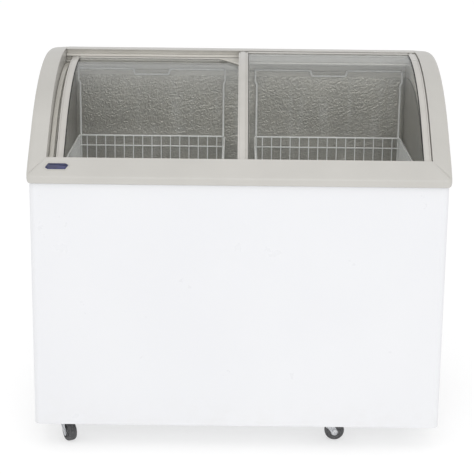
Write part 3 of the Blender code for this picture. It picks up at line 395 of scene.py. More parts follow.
STEEL = painted_steel()
COLLAR = moulding("collar_moulding", (0.535, 0.521, 0.490), (0.500, 0.487, 0.457), 0.40, gloss=0.30)
FRAME = moulding("lid_extrusion", (0.550, 0.532, 0.500), (0.500, 0.483, 0.452), 0.32, grain=900.0, scuff=0.15, tint=11.0, gloss=0.45)
INNER = moulding("throat_moulding", (0.640, 0.618, 0.562), (0.570, 0.549, 0.496), 0.36, gloss=0.45)
# The track plastic is coloured lighter than the collar moulding so that its shaded channels read bright: painted light.
LIGHTENED_TRACK = moulding("track_extrusion", (0.690, 0.668, 0.620), (0.610, 0.590, 0.545), 0.48, grain=900.0)
BRUSH = moulding("brush_seal", (0.14, 0.135, 0.13), (0.08, 0.078, 0.075), 0.80, grain=2200.0, depth=0.0003)
STUCCO = stucco_aluminium()
ZINC = zinc_plate()
COATING = coated_wire()
TYRE = rubbery("caster_tyre", (0.085, 0.085, 0.090), (0.055, 0.055, 0.058), 0.58)
HUB = rubbery("caster_hub", (0.16, 0.16, 0.165), (0.12, 0.12, 0.125), 0.48, grit=0.2)
SEAL = rubbery("black_rubber", (0.030, 0.030, 0.030), (0.018, 0.018, 0.018), 0.66, grit=0.2)
DARK = moulding("dark_moulding", (0.060, 0.060, 0.064), (0.042, 0.042, 0.046), 0.46, grain=800.0)
ENAMEL = enamel_black()
COPPER = copper_pipe()
FOAM = foam_block()
INDIGO = indigo_window()
PANE = pane()

# ------------------------------------------------------------------ mesh kit


def piece(name, mesh, mat, body, stands_for=(), smooth=35.0, weighted=True):
    """Adds a finished mesh to the scene, on its body."""
    obj = bpy.data.objects.new(name, mesh)
    bpy.context.scene.collection.objects.link(obj)
    mesh.materials.clear()
    mesh.materials.append(mat)
    if smooth:
        mesh.shade_smooth()
        mesh.set_sharp_from_angle(angle=math.radians(smooth))
        if weighted:
            mod = obj.modifiers.new("flat faces stay flat", "WEIGHTED_NORMAL")
            mod.keep_sharp = True
            mod.weight = 60
    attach(obj, body)
    if stands_for:
        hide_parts(*stands_for)
    return obj


def mesh_of(name, bm, weld=1e-6):
    bmesh.ops.remove_doubles(bm, verts=bm.verts, dist=weld)
    bmesh.ops.dissolve_degenerate(bm, edges=bm.edges, dist=1e-7)
    bmesh.ops.recalc_face_normals(bm, faces=bm.faces)
    mesh = bpy.data.meshes.new(name)
    bm.to_mesh(mesh)
    bm.free()
    return mesh


def add_loft(bm, rings, closed=True, caps=True):
    """Quads between rings of equal count; closed rings get capped at both ends."""
    rows = [[bm.verts.new(p) for p in ring] for ring in rings]
    count = len(rows[0])
    for a, b in zip(rows, rows[1:]):
        for i in range(count if closed else count - 1):
            j = (i + 1) % count
            bm.faces.new((a[i], a[j], b[j], b[i]))
    if caps and closed:
        bm.faces.new(list(reversed(rows[0])))
        bm.faces.new(rows[-1])
    return rows


def loft_mesh(name, rings, closed=True, caps=True):
    bm = bmesh.new()
    add_loft(bm, rings, closed, caps)
    return mesh_of(name, bm)


def fillet(points, radius, steps=3, closed=True):
    """Rounds the corners of a 2-D outline; a point may carry its own radius as a third number."""
    made, n = [], len(points)
    for i, point in enumerate(points):
        here = Vector(point[:2])
        r = point[2] if len(point) > 2 else radius
        if (not closed and i in (0, n - 1)) or r <= 0:
            made.append(tuple(here))
            continue
        before, after = Vector(points[i - 1][:2]), Vector(points[(i + 1) % n][:2])
        a, b = before - here, after - here
        if a.length < 1e-9 or b.length < 1e-9:
            made.append(tuple(here))
            continue
        angle = a.angle(b)
        if angle > math.radians(174):
            made.append(tuple(here))
            continue
        cut = min(r / math.tan(angle / 2), a.length * 0.46, b.length * 0.46)
        r = cut * math.tan(angle / 2)
        centre = here + (a.normalized() + b.normalized()).normalized() * (r / math.sin(angle / 2))
        start, end = here + a.normalized() * cut, here + b.normalized() * cut
        v0, v1 = start - centre, end - centre
        turn = v0.angle_signed(v1)
        for k in range(steps + 1):
            t = -turn * k / steps
            c, s = math.cos(t), math.sin(t)
            made.append((centre.x + v0.x * c - v0.y * s, centre.y + v0.x * s + v0.y * c))
    return made


def inset(points, amount):
    """A closed 2-D outline drawn in by amount, whichever way it runs."""
    n = len(points)
    area = sum(points[i][0] * points[(i + 1) % n][1] - points[(i + 1) % n][0] * points[i][1] for i in range(n))
    sign = 1 if area > 0 else -1
    made = []
    for i in range(n):
        p, q, r = Vector(points[i - 1]), Vector(points[i]), Vector(points[(i + 1) % n])
        a, b = (q - p), (r - q)
        if a.length < 1e-9 or b.length < 1e-9:
            made.append(tuple(q))
            continue
        na = Vector((-a.y, a.x)).normalized() * sign
        nb = Vector((-b.y, b.x)).normalized() * sign
        m = na + nb
        m = m.normalized() / max(0.5, m.normalized().dot(nb)) if m.length > 1e-6 else nb
        made.append((q.x + m.x * amount, q.y + m.y * amount))
    return made


def rounding(r, steps=3):
    """(distance from the end, inset) pairs that round the end of an extrusion."""
    return [(r * (1 - math.sin(math.pi / 2 * i / steps)), r * (1 - math.cos(math.pi / 2 * i / steps)))
            for i in range(steps, -1, -1)][::-1]


def end_stations(lo, hi, r, inner=()):
    """Stations from lo to hi with rounded ends: (position, inset)."""
    steps = 3
    arc = [(r * (1 - math.cos(math.pi / 2 * i / steps)), r * (1 - math.sin(math.pi / 2 * i / steps)))
           for i in range(steps + 1)]
    made = [(lo + s, d) for s, d in arc]
    made += [(x, 0.0) for x in inner if lo + r < x < hi - r]
    made += [(hi - s, d) for s, d in reversed(arc)]
    return made


def bar(name, outline, lo, hi, place, r=0.0006, inner=()):
    """Extrudes a 2-D outline between lo and hi; place(t, (a, b)) gives the 3-D point."""
    rings = []
    for t, d in end_stations(lo, hi, r, inner):
        shape = inset(outline, d) if d > 1e-7 else outline
        rings.append([place(t, p) for p in shape])
    return loft_mesh(name, rings)


def across(x, p):
    """Outline in (y, z), extruded along x."""
    return (x, p[0], p[1])


def crest_across(x, p):
    """Outline in (u, d), extruded along x."""
    return (x, *crest(p[0], p[1]))


def along_crest(u, p):
    """Outline in (x, d), swept along the crest."""
    return (p[0], *crest(u, p[1]))


def crest_marks(u0, u1, step=0.008):
    n = max(2, int(abs(u1 - u0) / step))
    return spread(u0, u1, n)[1:-1]


def add_tube(bm, points, radius, sides=10, closed=False, caps=True, taper=None):
    """A round wire through 3-D points, with its frame carried along so that it doesn't twist."""
    pts = [Vector(p) for p in points]
    n = len(pts)
    tangents = []
    for i in range(n):
        a = pts[i - 1] if (i or closed) else pts[0]
        b = pts[(i + 1) % n] if (i < n - 1 or closed) else pts[-1]
        tangents.append((b - a).normalized())
    normal = tangents[0].orthogonal().normalized()
    rows = []
    for i in range(n):
        if i:
            axis = tangents[i - 1].cross(tangents[i])
            if axis.length > 1e-8:
                normal = Matrix.Rotation(tangents[i - 1].angle(tangents[i]), 3, axis.normalized()) @ normal
        normal = (normal - tangents[i] * normal.dot(tangents[i])).normalized()
        side = tangents[i].cross(normal)
        r = radius * (taper[i] if taper else 1.0)
        rows.append([bm.verts.new(pts[i] + (normal * math.cos(2 * math.pi * k / sides) +
                                            side * math.sin(2 * math.pi * k / sides)) * r) for k in range(sides)])
    pairs = list(zip(rows, rows[1:]))
    for a, b in pairs:
        for i in range(sides):
            j = (i + 1) % sides
            bm.faces.new((a[i], a[j], b[j], b[i]))
    if closed:
        a, b = rows[-1], rows[0]
        best = min(range(sides), key=lambda k: (b[k].co - a[0].co).length)
        for i in range(sides):
            j = (i + 1) % sides
            bm.faces.new((a[i], a[j], b[(j + best) % sides], b[(i + best) % sides]))
    elif caps:
        for row, sign in ((rows[0], -1), (rows[-1], 1)):
            middle = sum((v.co for v in row), Vector()) / sides
            i = 0 if sign < 0 else n - 1
            tip = bm.verts.new(middle + tangents[i] * sign * radius * 0.45)
            for k in range(sides):
                j = (k + 1) % sides
                bm.faces.new((row[k], row[j], tip) if sign > 0 else (row[j], row[k], tip))


def bend(points, radius, steps=5):
    """Rounds the inner corners of a 3-D path with true arcs."""
    pts = [Vector(p) for p in points]
    path = [pts[0]]
    for before, here, after in zip(pts, pts[1:], pts[2:]):
        a, b = before - here, after - here
        angle = a.angle(b)
        if angle > math.radians(176):
            path.append(here)
            continue
        cut = min(radius / math.tan(angle / 2), a.length * 0.48, b.length * 0.48)
        r = cut * math.tan(angle / 2)
        a.normalize(), b.normalize()
        centre = here + (a + b).normalized() * (r / math.sin(angle / 2))
        start, end = here + a * cut, here + b * cut
        v0, v1 = start - centre, end - centre
        axis = v0.cross(v1).normalized()
        full = v0.angle(v1)
        for k in range(steps + 1):
            path.append(centre + Matrix.Rotation(full * k / steps, 3, axis) @ v0)
    path.append(pts[-1])
    return path


def subdivided(points, longest=0.04):
    """Adds points so that no stretch is longer than this."""
    made = [Vector(points[0])]
    for a, b in zip(points, points[1:]):
        a, b = Vector(a), Vector(b)
        n = max(1, int((b - a).length / longest))
        made += [a.lerp(b, (i + 1) / n) for i in range(n)]
    return made


def add_turned(bm, profile, matrix, steps=32):
    """A turned body; profile points (radius, height) run from one end of the axis to the other."""
    rings = []
    for r, z in profile:
        if r < 1e-7:
            rings.append([bm.verts.new(matrix @ Vector((0, 0, z)))])
        else:
            rings.append([bm.verts.new(matrix @ Vector((r * math.cos(2 * math.pi * k / steps),
                                                        r * math.sin(2 * math.pi * k / steps), z)))
                          for k in range(steps)])
    for a, b in zip(rings, rings[1:]):
        for k in range(steps):
            j = (k + 1) % steps
            corners = [a[k % len(a)], a[j % len(a)], b[j % len(b)], b[k % len(b)]]
            unique = list(dict.fromkeys(corners))
            if len(unique) > 2:
                bm.faces.new(unique)


def add_prism(bm, outline, z0, z1, matrix, r=0.0):
    """A flat outline made thick in its own frame, with its two rims rounded."""
    rings = []
    for z, d in (end_stations(z0, z1, r) if r else [(z0, 0.0), (z1, 0.0)]):
        shape = inset(outline, d) if d > 1e-7 else outline
        rings.append([matrix @ Vector((a, b, z)) for a, b in shape])
    add_loft(bm, rings)


def add_hex_head(bm, matrix, across_flats=0.008, height=0.004, shank=None):
    """A hexagon bolt head with a washer face and a chamfered top."""
    a = across_flats / 2 / math.cos(math.pi / 6)
    hexagon = [(a * math.cos(math.pi / 3 * k), a * math.sin(math.pi / 3 * k)) for k in range(6)]
    washer = [(across_flats * 0.62 * math.cos(math.pi / 8 * k), across_flats * 0.62 * math.sin(math.pi / 8 * k))
              for k in range(16)]
    add_prism(bm, washer, 0.0, 0.0007, matrix, 0.0002)
    add_prism(bm, fillet(hexagon, 0.0004, 2), 0.0006, height, matrix, 0.0005)


def add_pan_head(bm, matrix, radius=0.0042, height=0.0022):
    """A pan-head screw with a crossed recess."""
    profile = [(radius, 0.0), (radius, height * 0.35), (radius * 0.93, height * 0.70), (radius * 0.72, height * 0.92),
               (radius * 0.42, height)]
    rows = []
    steps = 24
    for r, z in profile:
        rows.append([bm.verts.new(matrix @ Vector((r * math.cos(2 * math.pi * k / steps),
                                                   r * math.sin(2 * math.pi * k / steps), z))) for k in range(steps)])
    inner = []
    for depth, size in ((height, 0.40), (height * 0.35, 0.30)):
        ring = []
        for k in range(steps):
            angle = 2 * math.pi * k / steps
            lobe = 0.5 + 0.5 * math.cos(4 * angle)
            r = radius * size * (0.45 + 0.60 * lobe ** 2)
            ring.append(bm.verts.new(matrix @ Vector((r * math.cos(angle), r * math.sin(angle), depth))))
        inner.append(ring)
    rows += inner
    for a, b in zip(rows, rows[1:]):
        for k in range(steps):
            j = (k + 1) % steps
            bm.faces.new((a[k], a[j], b[j], b[k]))
    bm.faces.new(rows[-1])
    bm.faces.new(list(reversed(rows[0])))


def holed_sheet(bm, xs, ys, holes, place):
    """A grid of quads over xs by ys that leaves the hole rectangles open."""
    grid = [[bm.verts.new(place(x, y)) for y in ys] for x in xs]
    for i in range(len(xs) - 1):
        for j in range(len(ys) - 1):
            cx, cy = (xs[i] + xs[i + 1]) / 2, (ys[j] + ys[j + 1]) / 2
            if any(a < cx < b and c < cy < d for a, b, c, d in holes):
                continue
            bm.faces.new((grid[i][j], grid[i + 1][j], grid[i + 1][j + 1], grid[i][j + 1]))
    return grid


def thicken(obj, amount, offset=-1.0, rim=None):
    """Gives a sheet its metal, and rounds its cut edges a little."""
    mod = obj.modifiers.new("sheet", "SOLIDIFY")
    mod.thickness = amount
    mod.offset = offset
    mod.use_quality_normals = True
    if rim:
        round_off(obj, rim)
    return obj


def round_off(obj, width, segments=2, angle=40):
    mod = obj.modifiers.new("edge", "BEVEL")
    mod.width = width
    mod.segments = segments
    mod.limit_method = "ANGLE"
    mod.angle_limit = math.radians(angle)
    mod.harden_normals = False
    return obj


def weighted_last(obj):
    """Keeps the flat-face normals as the last modifier."""
    for mod in list(obj.modifiers):
        if mod.type == "WEIGHTED_NORMAL":
            obj.modifiers.remove(mod)
    mod = obj.modifiers.new("flat faces stay flat", "WEIGHTED_NORMAL")
    mod.keep_sharp = True
    mod.weight = 60
    return obj

# ------------------------------------------------------------------ cabinet


def rounded_u(half_w, front, rear, radius, steps=10, side_steps=1, front_steps=1):
    path = [(-half_w, y) for y in spread(rear, front + radius, side_steps)]
    for i in range(1, steps + 1):
        a = math.pi + math.pi / 2 * i / steps
        path.append((-half_w + radius + radius * math.cos(a), front + radius + radius * math.sin(a)))
    path += [(x, front) for x in spread(-half_w + radius, half_w - radius, front_steps)[1:]]
    for i in range(1, steps + 1):
        a = 1.5 * math.pi + math.pi / 2 * i / steps
        path.append((half_w - radius + radius * math.cos(a), front + radius + radius * math.sin(a)))
    path += [(half_w, y) for y in spread(front + radius, rear, side_steps)[1:]]
    return path


# the wrap: one sheet bent round front and sides, with the side vent cut out and its bottom edge hemmed
half = BODY_W / 2
plan = [(-half, BODY_D / 2 - 0.0002)]
plan += rounded_u(half, -BODY_D / 2, BODY_D / 2, BODY_CORNER, 10, 1, 8)[1:-1]
plan += [(half, -0.060), (half, 0.200), (half, BODY_D / 2 - 0.0002)]
levels = [(0.0646, -0.0042), (0.0628, -0.0032), (0.0621, -0.0016), (0.0620, -0.0007), (0.0624, -0.0001), (0.0632, 0.0)]
levels += [(z, 0.0) for z in (0.100, 0.280, 0.45, 0.6868)]
bm = bmesh.new()
rows = []
for z, back in levels:
    row = []
    for x, y in plan:
        k = max(abs(x) - (half - BODY_CORNER), 0.0)
        inward = Vector((-math.copysign(1, x) if abs(x) > half - 1e-6 else 0.0, 0.0))
        if y < -BODY_D / 2 + 1e-6:
            inward = Vector((0.0, 1.0))
        elif y < -BODY_D / 2 + BODY_CORNER and abs(x) < half:
            centre = Vector((math.copysign(half - BODY_CORNER, x), -BODY_D / 2 + BODY_CORNER))
            inward = (centre - Vector((x, y))).normalized()
        row.append(bm.verts.new((x - inward.x * back, y - inward.y * back, z)))
    rows.append(row)
for i in range(len(rows) - 1):
    for j in range(len(plan) - 1):
        a, b = plan[j], plan[j + 1]
        hole = a[0] > 0.5 and b[0] > 0.5 and -0.061 < (a[1] + b[1]) / 2 < 0.201 and a[1] > -0.062
        if hole and 0.09 < (levels[i][0] + levels[i + 1][0]) / 2 < 0.29:
            continue
        bm.faces.new((rows[i][j], rows[i][j + 1], rows[i + 1][j + 1], rows[i + 1][j]))
wrap = piece("cabinet_wrap", mesh_of("cabinet_wrap", bm), STEEL, "cabinet", ["outer_shell"], 30)
thicken(wrap, 0.0012)
weighted_last(wrap)

# back panel: hemmed sheet with a stiffening swage, the rear vent cut out, fixed by screws
px = half - SHEET - 0.0006
by = BODY_D / 2 - 0.0004
bm = bmesh.new()
swage = (-0.30, 0.20, 0.420, 0.640)


def back_point(x, z):
    fx = min(x - swage[0], swage[1] - x)
    fz = min(z - swage[2], swage[3] - z)
    inside = max(0.0, min(1.0, min(fx, fz) / 0.010))
    return (x, by - 0.0012 * (inside * inside * (3 - 2 * inside)), z)


xs = sorted(set([-px, px, 0.262, 0.478, -0.38, -0.42, 0.24] + [swage[0] + d for d in (0, .0025, .005, .0075, .010)] +
                [swage[1] - d for d in (0, .0025, .005, .0075, .010)] + spread(-0.26, 0.16, 6)))
zs = sorted(set([BODY_Z0 + 0.0006, 0.098, 0.302, 0.36, 0.679] + [swage[2] + d for d in (0, .0025, .005, .0075, .010)] +
                [swage[3] - d for d in (0, .0025, .005, .0075, .010)] + [0.48, 0.54, 0.60]))
holed_sheet(bm, xs, zs, [(0.262, 0.478, 0.098, 0.302)], back_point)
ux = CHEEK_IN - 0.0008
holed_sheet(bm, spread(-ux, ux, 12), [0.6786, 0.74, 0.80, 0.86, 0.8805], [], lambda x, z: (x, by, z))
back = piece("back_panel", mesh_of("back_panel", bm), STEEL, "cabinet", ["rear_panel"], 30)
thicken(back, 0.0010, 1.0)
weighted_last(back)

face_back = Matrix.Translation((0, BODY_D / 2, 0)) @ Matrix.Rotation(math.pi, 4, "Z") @ Matrix.Rotation(math.pi / 2, 4, "X")


def on_back(x, z, y=BODY_D / 2):
    """A frame whose Z axis points out of the back."""
    return Matrix.Translation((x, y, z)) @ Matrix.Rotation(-math.pi / 2, 4, "X")


def on_right(y, z, x=BODY_W / 2):
    """A frame whose Z axis points out of the right side."""
    return Matrix.Translation((x, y, z)) @ Matrix.Rotation(math.pi / 2, 4, "Y")


bm = bmesh.new()
for x in (-0.485, -0.25, 0.0, 0.25, 0.485):
    add_pan_head(bm, on_back(x, 0.074, by), 0.0042, 0.0022)
for x in (-0.490, 0.490):
    for z in (0.20, 0.36, 0.52, 0.66):
        if not (x > 0 and z < 0.33):
            add_pan_head(bm, on_back(x, z, by), 0.0042, 0.0022)
for x in (-0.44, -0.22, 0.0, 0.22, 0.44):
    add_pan_head(bm, on_back(x, 0.868, by), 0.0042, 0.0022)
piece("back_panel_screws", mesh_of("back_panel_screws", bm), ZINC, "cabinet", smooth=30)


def louvre_panel(name, width, height, slats, matrix, mat, body, node):
    """A pressed vent cover: dished frame, sloping blades rolled at their edges, a middle post and four screws."""
    w, h, border, t = width / 2, height / 2, 0.012, 0.0018
    bm = bmesh.new()
    frame_xs = [-w, -w + border, -0.004, 0.004, w - border, w]
    pitch = (height - 2 * border) / slats
    outer_ring = fillet([(-w, -h), (w, -h), (w, h), (-w, h)], 0.006, 5)
    levels_ = end_stations(0.0, t, 0.0006)
    inner_box = [(-w + border, -h + border), (w - border, -h + border), (w - border, h - border), (-w + border, h - border)]
    inner_ring = fillet(inner_box, 0.003, 5)
    rings = []
    for z, d in levels_:
        rings.append([matrix @ Vector((a, b, z)) for a, b in (inset(outer_ring, d) if d else outer_ring)])
    hole = []
    for z, d in levels_:
        hole.append([matrix @ Vector((a, b, z)) for a, b in (inset(inner_ring, -d) if d else inner_ring)])
    ring_rows = [[bm.verts.new(p) for p in r] for r in rings + list(reversed(hole))]
    n = len(ring_rows[0])
    for a, b in zip(ring_rows, ring_rows[1:] + ring_rows[:1]):
        for i in range(n):
            j = (i + 1) % n
            bm.faces.new((a[i], a[j], b[j], b[i]))
    for i in range(slats):
        c = -h + border + pitch * (i + 0.5)
        blade = fillet([(c - pitch * 0.46, 0.0017), (c - pitch * 0.38, 0.0018), (c + pitch * 0.30, 0.0006),
                        (c + pitch * 0.30, 0.0001), (c - pitch * 0.40, 0.0012), (c - pitch * 0.46, 0.0012)], 0.0002, 2)
        for lo, hi in ((-w + border - 0.001, -0.0035), (0.0035, w - border + 0.001)):
            rings = [[matrix @ Vector((x, a, b)) for a, b in blade] for x in (lo, hi)]
            add_loft(bm, rings)
    post = fillet([(-0.004, 0.0), (0.004, 0.0), (0.004, t), (-0.004, t)], 0.0005, 2)
    add_loft(bm, [[matrix @ Vector((a, y, b)) for a, b in post] for y in (-h + border - 0.001, h - border + 0.001)])
    for sx in (-1, 1):
        for sy in (-1, 1):
            spot = matrix @ Matrix.Translation((sx * (w - 0.006), sy * (h - 0.006), t - 0.0001))
            add_pan_head(bm, spot, 0.0028, 0.0007)
    made = piece(name, mesh_of(name, bm), mat, body, [node], 32)
    return made


louvre_panel("rear_vent_louvres", 0.232, 0.220, 14, on_back(0.370, 0.200, BODY_D / 2 + 0.0003), STEEL, "cabinet",
             "rear_vent_grille")
louvre_panel("side_vent_louvres", 0.276, 0.196, 12,
             Matrix.Translation((BODY_W / 2 + 0.0003, 0.070, 0.190)) @ Matrix.Rotation(math.pi / 2, 4, "Z") @
             Matrix.Rotation(math.pi / 2, 4, "X"),
             STEEL, "cabinet", "side_vent_grille")

# ------------------------------------------------------------------ collar


def crown_drop(x):
    x = abs(x)
    drop = CROWN_SLOPE * max(0.0, min(x, CROWN_EDGE_X) - CHEEK_IN)
    if x > CROWN_EDGE_X:
        t = min(1.0, (x - CROWN_EDGE_X) / (COLLAR_W / 2 - CROWN_EDGE_X))
        drop += CROWN_EDGE_DROP * (1 - math.sqrt(max(0.0, 1 - t * t)))
    return drop


def corner_pull(x, radius=0.012):
    over = abs(x) - (COLLAR_W / 2 - radius)
    return 0.0 if over <= 0 else radius - math.sqrt(max(0.0, radius * radius - over * over))


MITRE_RUN = (0.3395 - 0.2897) / (COLLAR_W / 2 + 0.020 - CHEEK_IN)


def mitre_y(x):
    """The upright plane on which cheek and fascia meet."""
    return FASCIA_EDGE_Y - (abs(x) - CHEEK_IN) * MITRE_RUN


def fascia_outline():
    """Section of the fascia as offsets from the front face: (back from the front, z, follows slope)."""
    run = math.hypot(1.0, FASCIA_SLOPE)
    top = EDGE[0] + COLLAR_Y
    shape = [(0.0052, COLLAR_Z0, 0.0012), (0.0, COLLAR_Z0, 0.0050), (0.0, LIP_Z, 0.0085),
             (top, LIP_Z + top * FASCIA_SLOPE, 0.0007),
             (top + 0.0002, LIP_Z + top * FASCIA_SLOPE - SLOPE_SKIN * run, 0.0002),
             (0.0030, LIP_Z + 0.0030 * FASCIA_SLOPE - SLOPE_SKIN * run, 0.0020),
             (0.0022, LIP_Z - 0.005, 0.0015), (0.0022, COLLAR_Z0 + 0.0040, 0.0010), (0.0070, COLLAR_Z0 + 0.0022, 0.0005),
             (0.0070, COLLAR_Z0, 0.0005)]
    return fillet(shape, 0.001, 6)


FASCIA = fascia_outline()
slope_extra = []


def fascia_end(back):
    """The x at which a point this far behind the front reaches the mitre plane."""
    low, high = 0.40, COLLAR_W / 2
    for _ in range(40):
        mid = (low + high) / 2
        y = -COLLAR_Y + corner_pull(mid) + back
        if y < mitre_y(mid) or mid < CHEEK_IN:
            low = mid
        else:
            high = mid
    return min(low, COLLAR_W / 2 - 0.0002)


def lower_ease(x, z):
    """The collar's lower edge lifts as it turns the corner, as on a moulding with rounded ends."""
    t = max(0.0, (abs(x) - 0.5000) / 0.0100)
    lift = 0.0100 * (1 - math.sqrt(max(0.0, 1 - min(1.0, t) ** 2)))
    return lift * max(0.0, 1 - (z - COLLAR_Z0) / 0.0165)


bm = bmesh.new()
fine = [0.0, 0.08, 0.16, 0.24, 0.32, 0.40, 0.45, 0.480, 0.492, 0.4965, 0.4985, 0.5005, 0.5025, 0.5043, 0.5060, 0.5074, 0.5084]
SEAM = ((0.0032, 0.00001), (0.0018, 0.00006), (0.0007, 0.00016), (0.0, 0.00034))
outline_in = {d: inset(FASCIA, d) for c, d in SEAM}
ends = [fascia_end(b) - 0.00004 for b, z in FASCIA]
columns = []
marks = [x / 0.5084 for x in fine]
for side in (-1, 1):
    rows = []
    for f in marks:
        ring = []
        for i, (b, z) in enumerate(FASCIA):
            x = f * (ends[i] - 0.0040)
            pull = corner_pull(x)
            ring.append((side * x, -COLLAR_Y + pull + b, z + lower_ease(x, z) + (FASCIA_SLOPE * pull * 0.25 if z > LIP_Z else 0.0)))
        rows.append(ring)
    for cut, d in SEAM:
        shape = outline_in[d]
        ring = []
        for i, (b, z) in enumerate(shape):
            x = ends[i] - cut
            pull = corner_pull(x)
            ring.append((side * x, -COLLAR_Y + pull + b, z + lower_ease(x, z) + (FASCIA_SLOPE * pull * 0.25 if z > LIP_Z else 0.0)))
        rows.append(ring)
    columns.append(rows)
rings = list(reversed(columns[0])) + columns[1][1:]
add_loft(bm, rings)
piece("fascia_moulding", mesh_of("fascia_moulding", bm), COLLAR, "cabinet", ["front_fascia"], 38)


def surface_z(x, y):
    """Height of the collar's outer surface at a cheek, on the slope or on the crown."""
    drop = crown_drop(x)
    crown = crest(u_at_y(y, drop), drop)[1]
    back = y + COLLAR_Y - corner_pull(x)
    slope = LIP_Z + back * FASCIA_SLOPE + FASCIA_SLOPE * corner_pull(x) * 0.25
    return min(crown, slope)


REAR_ROUND = 0.012


def cheek_rows(x, sink):
    """Side outline of a cheek at x, sunk by sink: from the mitre, over the crest, down the back."""
    drop = crown_drop(x) + sink
    pull = corner_pull(x)
    front = max(-COLLAR_Y + pull, mitre_y(x)) + 0.0001 + sink
    # the crease between slope and crown
    low, high = front, -0.20
    base_drop = crown_drop(x)
    for _ in range(40):
        mid = (low + high) / 2
        slope = LIP_Z + (mid + COLLAR_Y - pull) * FASCIA_SLOPE + FASCIA_SLOPE * pull * 0.25
        if slope < crest(u_at_y(mid, base_drop), base_drop)[1]:
            low = mid
        else:
            high = mid
    crease = (low + high) / 2
    ring = []
    nose = surface_z(x, front) - sink * 1.4
    at_lip = -COLLAR_Y + pull >= mitre_y(x)
    ring += [(front, COLLAR_Z0 + 0.006), (front, nose - 0.006), (front, nose - 0.0024),
             (front + (0.0004 if at_lip else 0.00008), nose - (0.0010 if at_lip else 0.0003)),
             (front + (0.0014 if at_lip else 0.0003), nose + (0.0006 if at_lip else 0.0001))]
    begin = front + (0.0022 if at_lip else 0.0006)
    span = max(crease - begin, 0.0001)
    for t in (0.0, 0.25, 0.5, 0.75):
        y = begin + span * t
        ring.append((y, surface_z(x, y) - sink * 1.4 - (0.00015 if t == 0.0 else 0.0)))
    for t in (-0.6, 0.0, 0.6):
        y = max(begin + span * 0.8, crease + 0.0007 * t) if t < 0 else crease + 0.0007 * t
        ring.append((y, surface_z(x, y) - sink * 1.2 - 0.00018 * (1 - abs(t))))
    u0 = u_at_y(crease + 0.0016, drop)
    u1 = u_at_y(COLLAR_Y - REAR_ROUND - pull * 0.0, drop)
    ring += [crest(u, drop) for u in spread(u0, u1, 84)]
    top = ring[-1]
    rear = COLLAR_Y - pull - sink
    reach = rear - top[0]
    fall = math.atan(math.sin((u1 - ARC_U) / REAR_R))
    for i in range(1, 9):
        a = math.pi / 2 * i / 8
        ring.append((top[0] + reach * math.sin(a), top[1] - 0.012 * (1 - math.cos(a)) - 0.0020 * math.sin(a)))
    low_rear = ring[-1][1]
    ring += [(rear, z) for z in spread(low_rear, COLLAR_Z0 + 0.006, 5)[1:]]
    ring += [(rear - 0.0006, COLLAR_Z0 + 0.0030), (rear - 0.0022, COLLAR_Z0 + 0.0008), (rear - 0.0040, COLLAR_Z0)]
    ring += [(front + 0.0040, COLLAR_Z0), (front + 0.0022, COLLAR_Z0 + 0.0008), (front + 0.0006, COLLAR_Z0 + 0.0030)]
    return ring


stations = [(CHEEK_IN + 0.0000, 0.0008), (CHEEK_IN + 0.0002, 0.00035), (CHEEK_IN + 0.0005, 0.00008), (CHEEK_IN + 0.0009, 0.0)]
stations += [(x, 0.0) for x in (0.470, 0.476, 0.482, 0.488, 0.492, 0.494, 0.4955, 0.497, 0.4985, 0.500, 0.5015, 0.503,
                                0.5045, 0.5058, 0.5070, 0.5080, 0.5088, 0.5094, 0.5098, 0.51)]
for side, name in ((-1, "left"), (1, "right")):
    rings = []
    for x, sink in stations:
        ring = cheek_rows(x, sink)
        rings.append([(side * x, y, z + (lower_ease(x, z) if z < COLLAR_Z0 + 0.0165 else 0.0)) for y, z in ring])
    piece(name + "_cheek_moulding", loft_mesh(name + "_cheek_moulding", rings), COLLAR, "cabinet",
          [name + "_cheek"], 32)

# rear deck, with a rolled front edge and a soft turn down the back
deck_u0, deck_u1 = u_at_y(DECK_Y), u_at_y(COLLAR_Y - 0.013)
top_line = [crest(u, 0.0) for u in spread(deck_u0 + 0.0008, deck_u1, 26)]
last = top_line[-1]
roll = [(last[0] + 0.013 * math.sin(math.pi / 2 * i / 8), last[1] - 0.0105 * (1 - math.cos(math.pi / 2 * i / 8)) -
         0.0022 * math.sin(math.pi / 2 * i / 8)) for i in range(1, 9)]
outer_line = [crest(deck_u0, 0.0022), crest(deck_u0 + 0.00005, 0.0010), crest(deck_u0 + 0.0003, 0.0003)] + top_line + roll
outer_line += [(COLLAR_Y, 0.8895), (COLLAR_Y - 0.0003, 0.8848), (COLLAR_Y - 0.0008, 0.8840)]
inner_line = [(COLLAR_Y - 0.0018, 0.8840), (COLLAR_Y - 0.0021, 0.8850)]
inner_line += [(p[0] - 0.0021, p[1] - 0.0006) for p in reversed(roll)]
inner_line += [crest(u, 0.0022) for u in spread(deck_u1 - 0.002, deck_u0 + 0.002, 12)]
deck_x = CHEEK_IN - 0.0004
piece("rear_deck_moulding", bar("rear_deck_moulding", outer_line + inner_line, -deck_x, deck_x, across, 0.0005,
                                spread(-0.4, 0.4, 8)), COLLAR, "cabinet", ["rear_deck"], 32)

